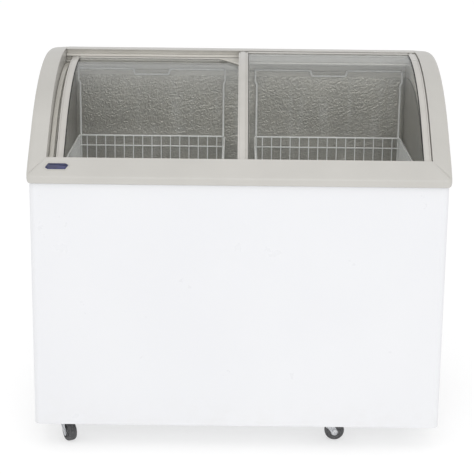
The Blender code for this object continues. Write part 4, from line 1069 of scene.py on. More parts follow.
# lid tracks: double channels with rounded arms
track_x = CHEEK_IN - 0.0007
front_track = [(-0.1205, 0.0040), (-0.1140, 0.0040), (-0.1140, 0.0134), (-0.1010, 0.0134), (-0.1010, 0.0196),
               (-0.1140, 0.0196), (-0.1140, 0.0304), (-0.0940, 0.0304), (-0.0940, 0.0350), (-0.1205, 0.0350)]
piece("front_track_extrusion", bar("front_track_extrusion", fillet(front_track, 0.0006, 2), -track_x, track_x,
                                   crest_across, 0.0003, spread(-0.4, 0.4, 8)),
      LIGHTENED_TRACK, "cabinet", ["front_lid_track"], 32)
rear_track = [(0.4300, 0.0030), (0.4212, 0.0030), (0.4212, 0.0136), (0.4060, 0.0136), (0.4060, 0.0194),
              (0.4212, 0.0194), (0.4212, 0.0306), (0.4020, 0.0306), (0.4020, 0.0350), (0.4300, 0.0350)]
piece("rear_track_extrusion", bar("rear_track_extrusion", fillet(rear_track, 0.0006, 2), -track_x, track_x,
                                  crest_across, 0.0003, spread(-0.4, 0.4, 8)),
      LIGHTENED_TRACK, "cabinet", ["rear_lid_track"], 32)

# inner collar: curved side bands, a stepped back band with the ledge, and the front band with its ledge
for side, name in ((-1, "left"), (1, "right")):
    section = [(side * x, d) for x, d in fillet(
        [(CHEEK_IN - 0.0008, 0.0366), (0.4530, 0.0366), (0.4530, 0.0500), (0.4548, 0.0518), (0.4548, 0.0600),
         (0.4536, 0.0612), (0.4536, 0.0745), (CHEEK_IN - 0.0008, 0.0745)], 0.0008, 3)]
    u0, u1 = u_at_y(LINER_Y0 - 0.004, 0.055), u_at_y(LINER_Y1 + 0.003, 0.055)
    stands = ["inner_collar"] if side < 0 else []
    piece(name + "_throat_band", bar(name + "_throat_band", section, u0, u1, along_crest, 0.0004, crest_marks(u0, u1)),
          INNER, "cabinet", stands, 32)
ty = LINER_Y1 - 0.0005
zt = crest(u_at_y(ty + 0.004, 0.0366), 0.0366)[1]
back_band = fillet([(ty + 0.0048, zt - 0.0385), (ty + 0.0048, zt - 0.0004), (ty, zt, 0.0008), (ty, zt - 0.0090),
                    (ty + 0.0016, zt - 0.0102), (ty + 0.0016, zt - 0.0215), (ty, zt - 0.0228),
                    (ty, LEDGE_Z + 0.0004, 0.0006), (ty - 0.0075, LEDGE_Z, 0.0012), (ty - 0.0075, LEDGE_Z - 0.0038, 0.0008),
                    (ty + 0.0006, LEDGE_Z - 0.0042, 0.0010), (ty + 0.0006, zt - 0.0385)], 0.0007, 3)
piece("back_throat_band", bar("back_throat_band", back_band, -0.4532, 0.4532, across, 0.0004, spread(-0.4, 0.4, 8)),
      INNER, "cabinet", [], 32)
fy = LINER_Y0 + 0.0005
zf = crest(u_at_y(fy - 0.002, 0.0366), 0.0366)[1]
front_band = fillet([(fy - 0.0048, zf - 0.0480), (fy, zf - 0.0480), (fy, FRONT_LEDGE_Z - 0.0042), (fy + 0.0095, FRONT_LEDGE_Z - 0.0038),
                     (fy + 0.0095, FRONT_LEDGE_Z), (fy, FRONT_LEDGE_Z + 0.0004), (fy, zf - 0.0002), (fy - 0.0048, zf - 0.0040)],
                    0.0007, 3)
piece("front_throat_band", bar("front_throat_band", front_band, -0.4532, 0.4532, across, 0.0004, spread(-0.4, 0.4, 8)),
      INNER, "cabinet", [], 32)

# ------------------------------------------------------------------ liner
R_WALL, R_FILL = 0.010, 0.016
base_line = fillet([(-LINER_X, 0.80, 0), (-LINER_X, LINER_Z0, R_FILL), (STEP_X, LINER_Z0, R_FILL), (STEP_X, STEP_Z, R_FILL),
                    (LINER_X, STEP_Z, R_FILL), (LINER_X, 0.80, 0)], R_FILL, 7, closed=False)
dense = [base_line[0]]
for a, b in zip(base_line, base_line[1:]):
    n = max(1, int(math.dist(a, b) / 0.05))
    dense += [(a[0] + (b[0] - a[0]) * (i + 1) / n, a[1] + (b[1] - a[1]) * (i + 1) / n) for i in range(n)]
normals = []
for i in range(len(dense)):
    a = Vector(dense[max(0, i - 1)])
    b = Vector(dense[min(len(dense) - 1, i + 1)])
    t = (b - a).normalized()
    normals.append(Vector((-t.y, t.x)))     # points into the tub


def liner_ring(y, draw_in):
    top = crest(u_at_y(y, 0.0745), 0.0745)[1]
    ring = []
    for i, (p, nrm) in enumerate(zip(dense, normals)):
        x, z = p[0] + nrm.x * draw_in, p[1] + nrm.y * draw_in
        upper = (p[1] - 0.42) / (0.80 - 0.42)
        if upper > 0 and abs(p[0]) > LINER_X - 0.001:
            z = 0.42 + (top - 0.42) * upper
        ring.append((x, y, z))
    return ring


bm = bmesh.new()
corner = [(R_WALL * (1 - math.cos(math.pi / 2 * i / 6)), R_WALL * (1 - math.sin(math.pi / 2 * i / 6))) for i in range(7)]
ys = [(LINER_Y0 + s, d) for s, d in corner] + [(y, 0.0) for y in spread(LINER_Y0 + 0.05, LINER_Y1 - 0.05, 8)]
ys += [(LINER_Y1 - s, d) for s, d in reversed(corner)]
rows = [[bm.verts.new(p) for p in liner_ring(y, d)] for y, d in ys]
for a, b in zip(rows, rows[1:]):
    for i in range(len(a) - 1):
        bm.faces.new((a[i], a[i + 1], b[i + 1], b[i]))
for row in (rows[0], rows[-1]):
    bm.faces.new(row)
liner_mesh = mesh_of("tub_lining", bm)
tub = piece("tub_lining", liner_mesh, STUCCO, "cabinet", ["inner_liner"], 30)
thicken(tub, 0.0010, 1.0)
weighted_last(tub)

# ------------------------------------------------------------------ lids


def glass_pane(name, u0, u1, x0, x1, d0, d1, body, node):
    """A bent pane: many short steps along the crest and ground edges."""
    r = 0.0007
    rings = []
    section = fillet([(x0, d0), (x1, d0), (x1, d1), (x0, d1)], r, 2)
    for u, d in end_stations(u0, u1, r, spread(u0, u1, 64)[1:-1]):
        shape = inset(section, d) if d > 1e-7 else section
        rings.append([along_crest(u, p) for p in shape])
    return piece(name, loft_mesh(name, rings), PANE, body, [node], 40)


def lid(name, x, d, left_w, right_w, body, meeting):
    mid = (d[0] + d[1]) / 2
    pane = (mid - GLASS_T / 2, mid + GLASS_T / 2)
    grip = 0.006
    x_in = (x[0] + left_w, x[1] - right_w)
    glass_pane(name + "_pane", LID_U0 + RAIL_U - grip, LID_U1 - REAR_RAIL_U + grip, x_in[0] - grip, x_in[1] + grip,
               *pane, body, name + "_glass")
    g0, g1 = pane[0] - 0.0003, pane[1] + 0.0003
    t, b = d
    for label in ("left", "right"):
        lo, hi = (x[0], x_in[0]) if label == "left" else (x_in[1], x[1])
        w = hi - lo
        inner = 1 if label == "left" else -1     # the side that holds the glass
        edge = hi if label == "left" else lo
        far = lo if label == "left" else hi

        def at(s, depth):
            """s runs from the outer edge (0) to the glass edge (w)."""
            return (far + inner * s, depth)

        if meeting and label == "left":
            # finger grip: narrow step, crowned face, and a ribbed ridge beside the glass
            top = [at(0, t + 0.0030), at(0.0003, t + 0.0016), at(0.0040, t + 0.0016), at(0.0046, t + 0.0002),
                   at(0.0090, t - 0.0002), at(0.0150, t + 0.0000), at(0.0180, t + 0.0004), at(0.0186, t + 0.0013),
                   at(0.0194, t + 0.0013), at(0.0200, t + 0.0001), at(0.0212, t + 0.0001), at(0.0218, t + 0.0012),
                   at(0.0226, t + 0.0012), at(0.0232, t + 0.0002), at(w - 0.0004, t + 0.0002), at(w, t + 0.0008)]
        else:
            # a crowned face with a bead along its outer side and a quirk beside the glass
            top = [at(0, t + 0.0012), at(0.0008, t + 0.0001), at(0.0030, t + 0.0001), at(0.0036, t + 0.0012),
                   at(0.0044, t + 0.0012), at(0.0050, t + 0.0002), at(w * 0.62, t - 0.0001), at(w - 0.0036, t + 0.0004),
                   at(w - 0.0030, t + 0.0012), at(w - 0.0004, t + 0.0012), at(w, t + 0.0016)]
        groove = [at(w, g0), at(w - grip, g0), at(w - grip, g1), at(w, g1)]
        under = [at(w, b - 0.0006), at(w - 0.0010, b), at(w * 0.5 + 0.002, b), at(w * 0.5, b - 0.0012),
                 at(w * 0.5 - 0.002, b), at(0.0008, b), at(0, b - 0.0008)]
        section = fillet(top + groove + under, 0.00045, 2)
        stand = "%s_%s_stile" % (name, label)
        piece(stand + "_extrusion", bar(stand + "_extrusion", section, LID_U0, LID_U1, along_crest, 0.0005,
                                        crest_marks(LID_U0, LID_U1, 0.0065)), FRAME, body, [stand], 34)
        # glazing bead between pane and stile, on top and underneath
        bm = bmesh.new()
        for d0, d1 in ((pane[0] - 0.0010, pane[0] - 0.0001), (pane[1] + 0.0001, pane[1] + 0.0010)):
            bead = fillet([(edge + inner * 0.0001, d0), (edge + inner * 0.0016, (d0 + d1) / 2 + (0.0003 if d0 < pane[0] else -0.0003)),
                           (edge + inner * 0.0018, d1 if d0 < pane[0] else d0), (edge + inner * 0.0001, d1 if d0 < pane[0] else d0)]
                          if d0 < pane[0] else
                          [(edge + inner * 0.0001, d0), (edge + inner * 0.0018, d0), (edge + inner * 0.0016, d1), (edge + inner * 0.0001, d1)],
                          0.0002, 2)
            rings = []
            for u in spread(LID_U0 + RAIL_U + 0.001, LID_U1 - REAR_RAIL_U - 0.001, 70):
                rings.append([along_crest(u, p) for p in bead])
            add_loft(bm, rings)
        piece("%s_%s_bead" % (name, label), mesh_of("%s_%s_bead" % (name, label), bm), SEAL, body, [], 34)
        bm = bmesh.new()
    rail_x = (x_in[0] + 0.0003, x_in[1] - 0.0003)
    a, c = LID_U0, LID_U0 + RAIL_U
    g = c - grip - 0.0003
    section = fillet([(a, t + 0.0006), (a + 0.0006, t), (a + 0.0030, t), (a + 0.0034, t + 0.0008), (a + 0.0042, t + 0.0008),
                      (a + 0.0046, t), (c - 0.0004, t + 0.0003), (c, t + 0.0010), (c, g0), (g, g0), (g, g1), (c, g1),
                      (c, b), (a, b)], 0.0004, 2)
    piece(name + "_front_rail_extrusion", bar(name + "_front_rail_extrusion", section, *rail_x, crest_across, 0.0003,
                                              spread(rail_x[0], rail_x[1], 8)[1:-1]),
          FRAME, body, [name + "_front_rail"], 34)
    a, c = LID_U1, LID_U1 - REAR_RAIL_U
    g = c + grip + 0.0003
    section = fillet([(a, b), (c, b), (c, g1), (g, g1), (g, g0), (c, g0), (c, t + 0.0010), (c + 0.0004, t + 0.0003),
                      (c + 0.0060, t), (c + 0.0066, t + 0.0010), (c + 0.0078, t + 0.0010), (c + 0.0084, t),
                      (c + 0.0200, t), (c + 0.0206, t + 0.0010), (c + 0.0218, t + 0.0010), (c + 0.0224, t),
                      (a - 0.0006, t), (a, t + 0.0006)], 0.0004, 2)
    piece(name + "_rear_rail_extrusion", bar(name + "_rear_rail_extrusion", section, *rail_x, crest_across, 0.0003,
                                             spread(rail_x[0], rail_x[1], 8)[1:-1]),
          FRAME, body, [name + "_rear_rail"], 34)
    # corner fixing screws on the stiles, beside each rail end
    bm = bmesh.new()
    for sx in ((x[0] + left_w * 0.55), (x[1] - right_w * 0.45)):
        for u in ((LID_U0 + 0.0065, LID_U1 - 0.012) if name == "upper_lid" else (LID_U1 - 0.0245,)):
            p = crest(u, t + 0.0001)
            q = crest(u, t + 0.0101)
            up = Vector((0, p[0] - q[0], p[1] - q[1])).normalized()
            spin = up.to_track_quat("Z", "Y").to_matrix().to_4x4()
            add_pan_head(bm, Matrix.Translation((sx, p[0], p[1])) @ spin, 0.0024, 0.0006)
    piece(name + "_corner_screws", mesh_of(name + "_corner_screws", bm), ZINC, body, [], 30)


lid("lower_lid", LOWER_X, LOWER_D, STILE, STILE, "lower_lid", False)
lid("upper_lid", UPPER_X, UPPER_D, MEETING, STILE, "upper_lid", True)

# gusset in the lower lid's rear corner, with a raised bead along its slanting edge
gx1 = LOWER_X[1] - STILE - 0.0003
gx0 = gx1 - 0.062
gu1 = LID_U1 - REAR_RAIL_U - 0.0003
rings = []
gd = LOWER_D[0]
count = 26
for i in range(count + 1):
    s = i / count
    x = gx0 + 0.0015 + (gx1 - gx0 - 0.0015) * s
    u0 = gu1 - 0.004 - 0.084 * s
    span = gu1 - u0
    profile = []
    marks = [0.0, 0.0003, 0.0012, 0.0022, 0.0032, 0.0038]
    heights = [0.0022, 0.0008, -0.0004, -0.0004, 0.0006, 0.0010]
    for m, h in zip(marks, heights):
        profile.append((u0 + min(m, span * 0.5), gd + h))
    for k in range(1, 9):
        profile.append((u0 + 0.0038 + (span - 0.0038) * k / 8, gd + 0.0010))
    profile.append((gu1, gd + 0.0021))
    profile.append((u0 + min(0.0010, span * 0.3), gd + 0.0022))
    rings.append([crest_across(x, p) for p in profile])
piece("lower_lid_gusset_plate", loft_mesh("lower_lid_gusset_plate", rings), INNER, "lower_lid",
      ["lower_lid_gusset"], 30)

# ------------------------------------------------------------------ display
slope = math.atan(FASCIA_SLOPE)
disp_y = (EDGE[0] - COLLAR_Y + 0.001) / 2
disp = Matrix.Translation((-0.438, disp_y, EDGE[1] + FASCIA_SLOPE * (disp_y - EDGE[0]))) @ Matrix.Rotation(slope, 4, "X")


def hexagon(length, height):
    a, b = length / 2, height / 2
    lean = 0.42 * b          # the left tip sits low and the right tip high
    return [(-a, -lean), (-a + b * 0.9, -b), (a - b * 0.9, -b), (a, lean), (a - b * 0.9, b), (-a + b * 0.9, b)]


bm = bmesh.new()
outer_hex = fillet(hexagon(0.066, 0.0225), 0.003, 5)
inner_hex = fillet(hexagon(0.0572, 0.0172), 0.0015, 5)
rings = [[disp @ Vector((a, b, z)) for a, b in inset(outer_hex, d)]
         for z, d in ((-0.0006, 0.0), (0.0006, 0.0), (0.0011, 0.0003), (0.0014, 0.0010), (0.0015, 0.0018))]
rings += [[disp @ Vector((a, b, z)) for a, b in inset(inner_hex, d)]
          for z, d in ((0.0015, -0.0006), (0.0013, -0.0001), (0.0008, 0.0), (-0.0006, 0.0))]
rows = [[bm.verts.new(p) for p in r] for r in rings]
n = len(rows[0])
for a, b in zip(rows, rows[1:] + rows[:1]):
    for i in range(n):
        bm.faces.new((a[i], a[(i + 1) % n], b[(i + 1) % n], b[i]))
piece("display_surround", mesh_of("display_surround", bm), COLLAR, "cabinet", ["display_bezel"], 34)
bm = bmesh.new()
glass_hex = fillet(hexagon(0.0564, 0.0166), 0.0013, 5)
rings = [[disp @ Vector((a, b, z)) for a, b in inset(glass_hex, d)]
         for z, d in ((-0.0003, 0.0), (0.0008, 0.0), (0.00125, 0.0004), (0.00145, 0.0014), (0.0015, 0.0035))]
add_loft(bm, rings)
piece("display_lens", mesh_of("display_lens", bm), INDIGO, "cabinet", ["display_window"], 34)

# ------------------------------------------------------------------ baskets
THICK, THIN = 0.0024, 0.0015     # wire radii


def wire_basket(name, m, node, hoop_node):
    """A bent-wire basket: U wires each way, side rings, a heavy rim, and hooks for the front ledge."""
    x0, x1 = BASKET_X
    y0, y1 = BASKET_Y
    z0, z1 = BASKET_Z
    bm = bmesh.new()
    e = 0.0025
    rim_z = z1 - e
    # cross wires: down the front, under the floor, up the back
    for x in spread(x0 + 0.024, x1 - 0.024, 14):
        path = bend([(m * x, y0 + e + 0.003, rim_z), (m * x, y0 + e + 0.003, z0 + e + 0.003), (m * x, y1 - e - 0.003, z0 + e + 0.003),
                     (m * x, y1 - e - 0.003, rim_z)], 0.016, 4)
        add_tube(bm, subdivided(path, 0.12), THIN, 7)
    for y in spread(y0 + 0.024, y1 - 0.024, 17):
        path = bend([(m * (x0 + e + 0.003), y, rim_z), (m * (x0 + e + 0.003), y, z0 + e), (m * (x1 - e - 0.003), y, z0 + e),
                     (m * (x1 - e - 0.003), y, rim_z)], 0.016, 4)
        add_tube(bm, subdivided(path, 0.12), THIN, 7)

    def ring(z, r, grow, radius):
        """A closed loop round the four walls."""
        a, b, c, d = x0 + e + grow, x1 - e - grow, y0 + e + grow, y1 - e - grow
        corners = fillet([(a, c), (b, c), (b, d), (a, d)], radius, 6)
        add_tube(bm, [(m * p, q, z) for p, q in corners], r, 9 if r > 0.002 else 7, closed=True)

    ring(rim_z, THICK, 0.0, 0.014)
    ring(rim_z - 0.028, 0.0019, 0.0005, 0.014)
    for z in (0.600, 0.545, 0.492):
        ring(z, THIN, 0.0012, 0.014)
    ring(z0 + e, 0.0021, 0.008, 0.014)
    # hooks over the front ledge
    for x in (x0 + 0.060, (x0 + x1) / 2, x1 - 0.060):
        for s in (-0.016, 0.016):
            path = bend([(m * (x + s), y0 + e, rim_z - 0.030), (m * (x + s), y0 - 0.0005, rim_z), (m * (x + s), LINER_Y0 + 0.0055, rim_z + 0.0003)],
                        0.004, 4)
            add_tube(bm, path, 0.0016, 7)
        add_tube(bm, subdivided([(m * (x - 0.016), LINER_Y0 + 0.0055, rim_z + 0.0003), (m * (x + 0.016), LINER_Y0 + 0.0055, rim_z + 0.0003)], 0.02),
                 0.0016, 7)
    piece(name + "_wires", mesh_of(name + "_wires", bm), COATING, name, [node], 40, weighted=False)

    # the tall hoop behind it, with the finger dip
    xa, xb = x0 + 0.0025, x1 - 0.0025
    y = y1 + 0.0025 + 0.0012
    top, low = BASKET_TOP, z0 + 0.040
    jog, dip, back = 0.0040, 0.0140, 0.0068
    half_path = [(xa + jog, y, low), (xa + jog, y, top - 0.040), (xa, y, top - 0.030), (xa, y, top),
                 (xa, y + back, top), (0.184, y + back, top), (0.1925, y + 0.0015, top - 0.0004), (0.1955, y, top - dip)]
    pts = half_path + [(xa + xb - a, b, c) for a, b, c in reversed(half_path)]
    radii = []
    path = bend([(m * a, b, c) for a, b, c in pts], 0.0050, 6)
    bm = bmesh.new()
    add_tube(bm, subdivided(path, 0.05), 0.0028, 12)
    # welded tie wires between the legs and the rim
    for xx in (xa + jog, xb - jog):
        for z in (low + 0.010, rim_z):
            add_tube(bm, [(m * xx, y - 0.0048, z), (m * xx, y - 0.0022, z), (m * xx, y, z)], 0.0019, 8)
    piece(name + "_tall_hoop", mesh_of(name + "_tall_hoop", bm), COATING, name, [hoop_node], 40, weighted=False)


wire_basket("right_basket", 1, "right_basket", "right_basket_hoop")
wire_basket("left_basket", -1, "left_basket", "left_basket_hoop")

# ------------------------------------------------------------------ casters
for label, cx, cy, heading in CASTERS:
    pivot = Matrix.Translation((cx, cy, 0.0)) @ Matrix.Rotation(heading, 4, "Z")
    mount = Matrix.Translation((cx, cy, 0.0))
    # mounting plate with a dished race, four bolts and a riveted pin
    bm = bmesh.new()
    square = fillet([(-0.028, -0.028), (0.028, -0.028), (0.028, 0.028), (-0.028, 0.028)], 0.005, 5)
    add_prism(bm, square, 0.0595, 0.0617, mount, 0.0005)
    add_turned(bm, [(0.0, 0.0594), (0.0150, 0.0594), (0.0165, 0.0596), (0.0172, 0.0600), (0.0172, 0.0610), (0.0, 0.0610)], mount, 36)
    for sx in (-1, 1):
        for sy in (-1, 1):
            down = mount @ Matrix.Translation((sx * 0.0215, sy * 0.0215, 0.0595)) @ Matrix.Rotation(math.pi, 4, "X")
            add_hex_head(bm, down, 0.0072, 0.0030)
    piece("caster_%s_mount" % label, mesh_of("caster_%s_mount" % label, bm), ZINC, "cabinet",
          ["caster_%s_plate" % label], 32)
    # pressed fork: round crown, two tapering legs with rolled edges, and the pin's head below
    bm = bmesh.new()
    body = "caster_" + label
    crown = [(0.0, 0.0588), (0.0150, 0.0588), (0.0164, 0.0584), (0.0168, 0.0576), (0.0165, 0.0562), (0.0150, 0.0553), (0.0, 0.0550)]
    add_turned(bm, crown, pivot, 40)
    add_turned(bm, [(0.0, 0.0551), (0.0046, 0.0551), (0.0050, 0.0546), (0.0044, 0.0536), (0.0022, 0.0530), (0.0, 0.0529)],
               pivot, 20)
    leg = [(-0.0145, 0.0572, 0.002), (-0.0148, 0.0500, 0.004), (0.0120, 0.0290, 0.012), (TRAIL - 0.0088, 0.0225, 0.004),
           (TRAIL - 0.0072, 0.0160, 0.006), (TRAIL, 0.0136, 0.006), (TRAIL + 0.0072, 0.0160, 0.006),
           (TRAIL + 0.0088, 0.0235, 0.004), (0.0210, 0.0480, 0.010), (0.0145, 0.0572, 0.002)]
    leg = fillet(leg, 0.004, 5)
    for sy in (-1, 1):
        side = pivot @ Matrix.Rotation(math.pi / 2, 4, "X")
        lo, hi = sorted((sy * 0.0123, sy * 0.0144))
        add_prism(bm, leg, lo, hi, side, 0.0006)
        # rolled stiffening rib down the leg
        rib = [(-0.004, sy * 0.01445, 0.0520), (0.006, sy * 0.01455, 0.0420), (0.016, sy * 0.01455, 0.0320), (TRAIL - 0.001, sy * 0.0143, 0.0300)]
        add_tube(bm, [pivot @ Vector(p) for p in bend(rib, 0.02, 4)], 0.0009, 8)
    # bridge between the legs
    bridge = fillet([(-0.0142, 0.0545), (0.0142, 0.0545), (0.0142, 0.0572), (-0.0142, 0.0572)], 0.0010, 3)
    turn = pivot @ Matrix.Rotation(math.pi / 2, 4, "Z") @ Matrix.Rotation(math.pi / 2, 4, "X")
    add_prism(bm, bridge, -0.0140, 0.0140, turn, 0.0004)
    piece("caster_%s_yoke" % label, mesh_of("caster_%s_yoke" % label, bm), ZINC, body,
          ["caster_%s_fork" % label], 32)
    # axle bolt and nut
    bm = bmesh.new()
    axis = pivot @ Matrix.Translation((TRAIL, 0, WHEEL_R)) @ Matrix.Rotation(math.pi / 2, 4, "X")
    add_turned(bm, [(0.0, -0.0150), (0.0030, -0.0150), (0.0030, 0.0150), (0.0, 0.0150)], axis, 20)
    head = fillet([(0.0058 * math.cos(math.pi / 3 * k), 0.0058 * math.sin(math.pi / 3 * k)) for k in range(6)], 0.0003, 2)
    add_prism(bm, head, 0.0145, 0.0161, axis, 0.0004)
    add_prism(bm, head, -0.0161, -0.0145, axis, 0.0004)
    add_turned(bm, [(0.0, 0.0160), (0.0026, 0.0160), (0.0022, 0.0163), (0.0, 0.0164)], axis, 16)
    piece("caster_%s_bolt" % label, mesh_of("caster_%s_bolt" % label, bm), ZINC, body,
          ["caster_%s_axle" % label], 32)
    # tyre with a crowned, lightly grooved tread
    bm = bmesh.new()
    w, r = WHEEL_W / 2, WHEEL_R
    tread = [(0.0178, w - 0.0012), (0.0190, w - 0.0003), (0.0208, w), (0.0228, w - 0.0009), (0.0242, w - 0.0030),
             (0.0248, w - 0.0056), (0.02455, w - 0.0060), (0.02455, w - 0.0066), (0.0250, w - 0.0070), (0.0250, w - 0.0100),
             (0.0250, -w + 0.0100), (0.0250, -w + 0.0070), (0.02455, -w + 0.0066), (0.02455, -w + 0.0060), (0.0248, -w + 0.0056),
             (0.0242, -w + 0.0030), (0.0228, -w + 0.0009), (0.0208, -w), (0.0190, -w + 0.0003), (0.0178, -w + 0.0012)]
    add_turned(bm, tread + [tread[0]], axis, 64)
    piece("caster_%s_tyre" % label, mesh_of("caster_%s_tyre" % label, bm), TYRE, body + "_wheel",
          ["caster_%s_wheel" % label], 32)
    # hub: dished webs with six ribs on both sides, and a boss
    bm = bmesh.new()
    core = [(0.0036, w - 0.0012), (0.0078, w - 0.0010), (0.0084, w - 0.0016), (0.0088, w - 0.0052), (0.0160, w - 0.0052),
            (0.0166, w - 0.0022), (0.0180, w - 0.0016), (0.0182, 0.0), (0.0180, -w + 0.0016), (0.0166, -w + 0.0022),
            (0.0160, -w + 0.0052), (0.0088, -w + 0.0052), (0.0084, -w + 0.0016), (0.0078, -w + 0.0010), (0.0036, -w + 0.0012)]
    add_turned(bm, core + [core[0]], axis, 48)
    for k in range(6):
        spoke = axis @ Matrix.Rotation(math.pi / 3 * k, 4, "Z")
        shape = fillet([(0.0080, -0.0011), (0.0168, -0.0008), (0.0168, 0.0008), (0.0080, 0.0011)], 0.0003, 2)
        add_prism(bm, shape, w - 0.0055, w - 0.0022, spoke, 0.0004)
        add_prism(bm, shape, -w + 0.0022, -w + 0.0055, spoke, 0.0004)
    piece("caster_%s_hub" % label, mesh_of("caster_%s_hub" % label, bm), HUB, body + "_wheel", [], 32)

# ------------------------------------------------------------------ compressor bay
up = Matrix.Identity(4)
base_top = BODY_Z0 + 0.002
bm = bmesh.new()
tray = fillet([(COMP[0] - 0.105, COMP[1] - 0.075), (COMP[0] + 0.105, COMP[1] - 0.075), (COMP[0] + 0.105, COMP[1] + 0.075),
               (COMP[0] - 0.105, COMP[1] + 0.075)], 0.006, 5)
add_prism(bm, tray, base_top + 0.0003, base_top + 0.0026, up, 0.0004)
for sy in (-1, 1):
    lip = fillet([(COMP[1] + sy * 0.072 - 0.0012, base_top + 0.002), (COMP[1] + sy * 0.072 + 0.0012, base_top + 0.002),
                  (COMP[1] + sy * 0.072 + 0.0012, base_top + 0.0042), (COMP[1] + sy * 0.072 - 0.0012, base_top + 0.0042)], 0.0004, 2)
    add_loft(bm, [[(x, a, b) for a, b in lip] for x in (COMP[0] - 0.098, COMP[0] + 0.098)])
piece("compressor_tray", mesh_of("compressor_tray", bm), ZINC, "cabinet", ["compressor_bed"], 32)

at = Matrix.Translation((COMP[0], COMP[1], 0.0))
r0, h0, h1 = COMP_R, COMP_Z[0] - 0.0055, COMP_Z[1]
middle = (h0 + h1) / 2
bm = bmesh.new()
dome = [(0.0, h1)]
for i in range(1, 15):
    a = math.pi / 2 * i / 14
    dome.append((r0 * math.sin(a) ** 0.80, h1 - 0.062 * (1 - math.cos(a))))
dome += [(r0, middle + 0.0060), (r0 + 0.0012, middle + 0.0048), (r0 + 0.0046, middle + 0.0040), (r0 + 0.0050, middle + 0.0030),
         (r0 + 0.0050, middle - 0.0030), (r0 + 0.0046, middle - 0.0040), (r0 + 0.0006, middle - 0.0048), (r0 - 0.0020, middle - 0.0060),
         (r0 - 0.0026, h0 + 0.034), (r0 - 0.0060, h0 + 0.020), (r0 * 0.80, h0 + 0.008), (r0 * 0.62, h0 + 0.003), (0.0, h0 + 0.003)]
add_turned(bm, dome, at, 64)
# feet on rubber grommets
for k in range(4):
    a = math.pi / 4 + math.pi / 2 * k
    spoke = at @ Matrix.Rotation(a, 4, "Z")
    foot = fillet([(0.040, -0.013), (0.082, -0.010), (0.086, 0.0), (0.082, 0.010), (0.040, 0.013)], 0.005, 4)
    add_prism(bm, foot, h0 + 0.0052, h0 + 0.0076, spoke, 0.0005)
# copper-free stub collars
for a, z in ((math.radians(196), 0.130), (math.radians(100), 0.120)):
    stub = at @ Matrix.Rotation(a, 4, "Z") @ Matrix.Translation((r0 - 0.006, 0, z)) @ Matrix.Rotation(math.pi / 2, 4, "Y")
    add_turned(bm, [(0.0, 0.0), (0.0085, 0.0), (0.0085, 0.006), (0.0070, 0.0085), (0.0, 0.0085)], stub, 24)
piece("compressor_can", mesh_of("compressor_can", bm), ENAMEL, "cabinet", ["compressor"], 32)
bm = bmesh.new()
for k in range(4):
    a = math.pi / 4 + math.pi / 2 * k
    spot = at @ Matrix.Rotation(a, 4, "Z") @ Matrix.Translation((0.076, 0, 0))
    add_turned(bm, [(0.0, base_top + 0.0026), (0.0090, base_top + 0.0026), (0.0094, base_top + 0.0034), (0.0080, h0 + 0.0020),
                    (0.0094, h0 + 0.0050), (0.0, h0 + 0.0052)], spot, 24)
piece("compressor_grommets", mesh_of("compressor_grommets", bm), SEAL, "cabinet", [], 32)
bm = bmesh.new()
for k in range(4):
    a = math.pi / 4 + math.pi / 2 * k
    spot = at @ Matrix.Rotation(a, 4, "Z") @ Matrix.Translation((0.076, 0, h0 + 0.0076))
    add_hex_head(bm, spot, 0.0080, 0.0040)
piece("compressor_bolts", mesh_of("compressor_bolts", bm), ZINC, "cabinet", [], 32)

# relay cover: ribbed moulded box with a wire clip over it
bm = bmesh.new()
rx0, rx1 = COMP[0] + COMP_R + 0.0056, COMP[0] + COMP_R + 0.0350
shape = fillet([(rx0, COMP[1] - 0.028), (rx1, COMP[1] - 0.028), (rx1, COMP[1] + 0.028), (rx0, COMP[1] + 0.028)], 0.004, 5)
add_prism(bm, shape, 0.120, 0.185, up, 0.0014)
for k in range(5):
    z = 0.134 + 0.0092 * k
    rib = fillet([(rx1 - 0.0006, z), (rx1 + 0.0010, z + 0.0008), (rx1 + 0.0010, z + 0.0020), (rx1 - 0.0006, z + 0.0028)], 0.0003, 2)
    add_loft(bm, [[(a, y, b) for a, b in rib] for y in (COMP[1] - 0.020, COMP[1] + 0.020)])
piece("relay_box", mesh_of("relay_box", bm), DARK, "cabinet", ["relay_cover"], 32)
bm = bmesh.new()
clip = bend([(rx0 + 0.004, COMP[1] - 0.0295, 0.150), (rx1 + 0.0022, COMP[1] - 0.0295, 0.150), (rx1 + 0.0022, COMP[1] + 0.0295, 0.150),
             (rx0 + 0.004, COMP[1] + 0.0295, 0.150)], 0.004, 4)
add_tube(bm, clip, 0.0010, 8)
piece("relay_clip", mesh_of("relay_clip", bm), ZINC, "cabinet", [], 32)

# filter drier with spun ends and a band clamp
bm = bmesh.new()
dry = Matrix.Translation((BAY_X + 0.020, 0.230, 0.200))
body = [(0.0, 0.055), (0.0028, 0.055), (0.0032, 0.050), (0.0033, 0.045), (0.0042, 0.0425), (0.0075, 0.0405), (0.0100, 0.0380),
        (0.0110, 0.0345), (0.0110, 0.0060), (0.0114, 0.0055), (0.0114, -0.0055), (0.0110, -0.0060), (0.0110, -0.0345),
        (0.0100, -0.0380), (0.0075, -0.0405), (0.0042, -0.0425), (0.0033, -0.045), (0.0032, -0.050), (0.0028, -0.055), (0.0, -0.055)]
add_turned(bm, body, dry, 40)
piece("drier_body", mesh_of("drier_body", bm), COPPER, "cabinet", ["filter_drier"], 32)

# ------------------------------------------------------------------ back fittings
kx, kz = KNOB
bf = BODY_D / 2 + 0.0003
bm = bmesh.new()
plate = fillet([(-0.030, -0.030), (0.030, -0.030), (0.030, 0.030), (-0.030, 0.030)], 0.005, 6)
spot = on_back(kx, kz, bf)
add_prism(bm, plate, 0.0, 0.0019, spot, 0.0006)
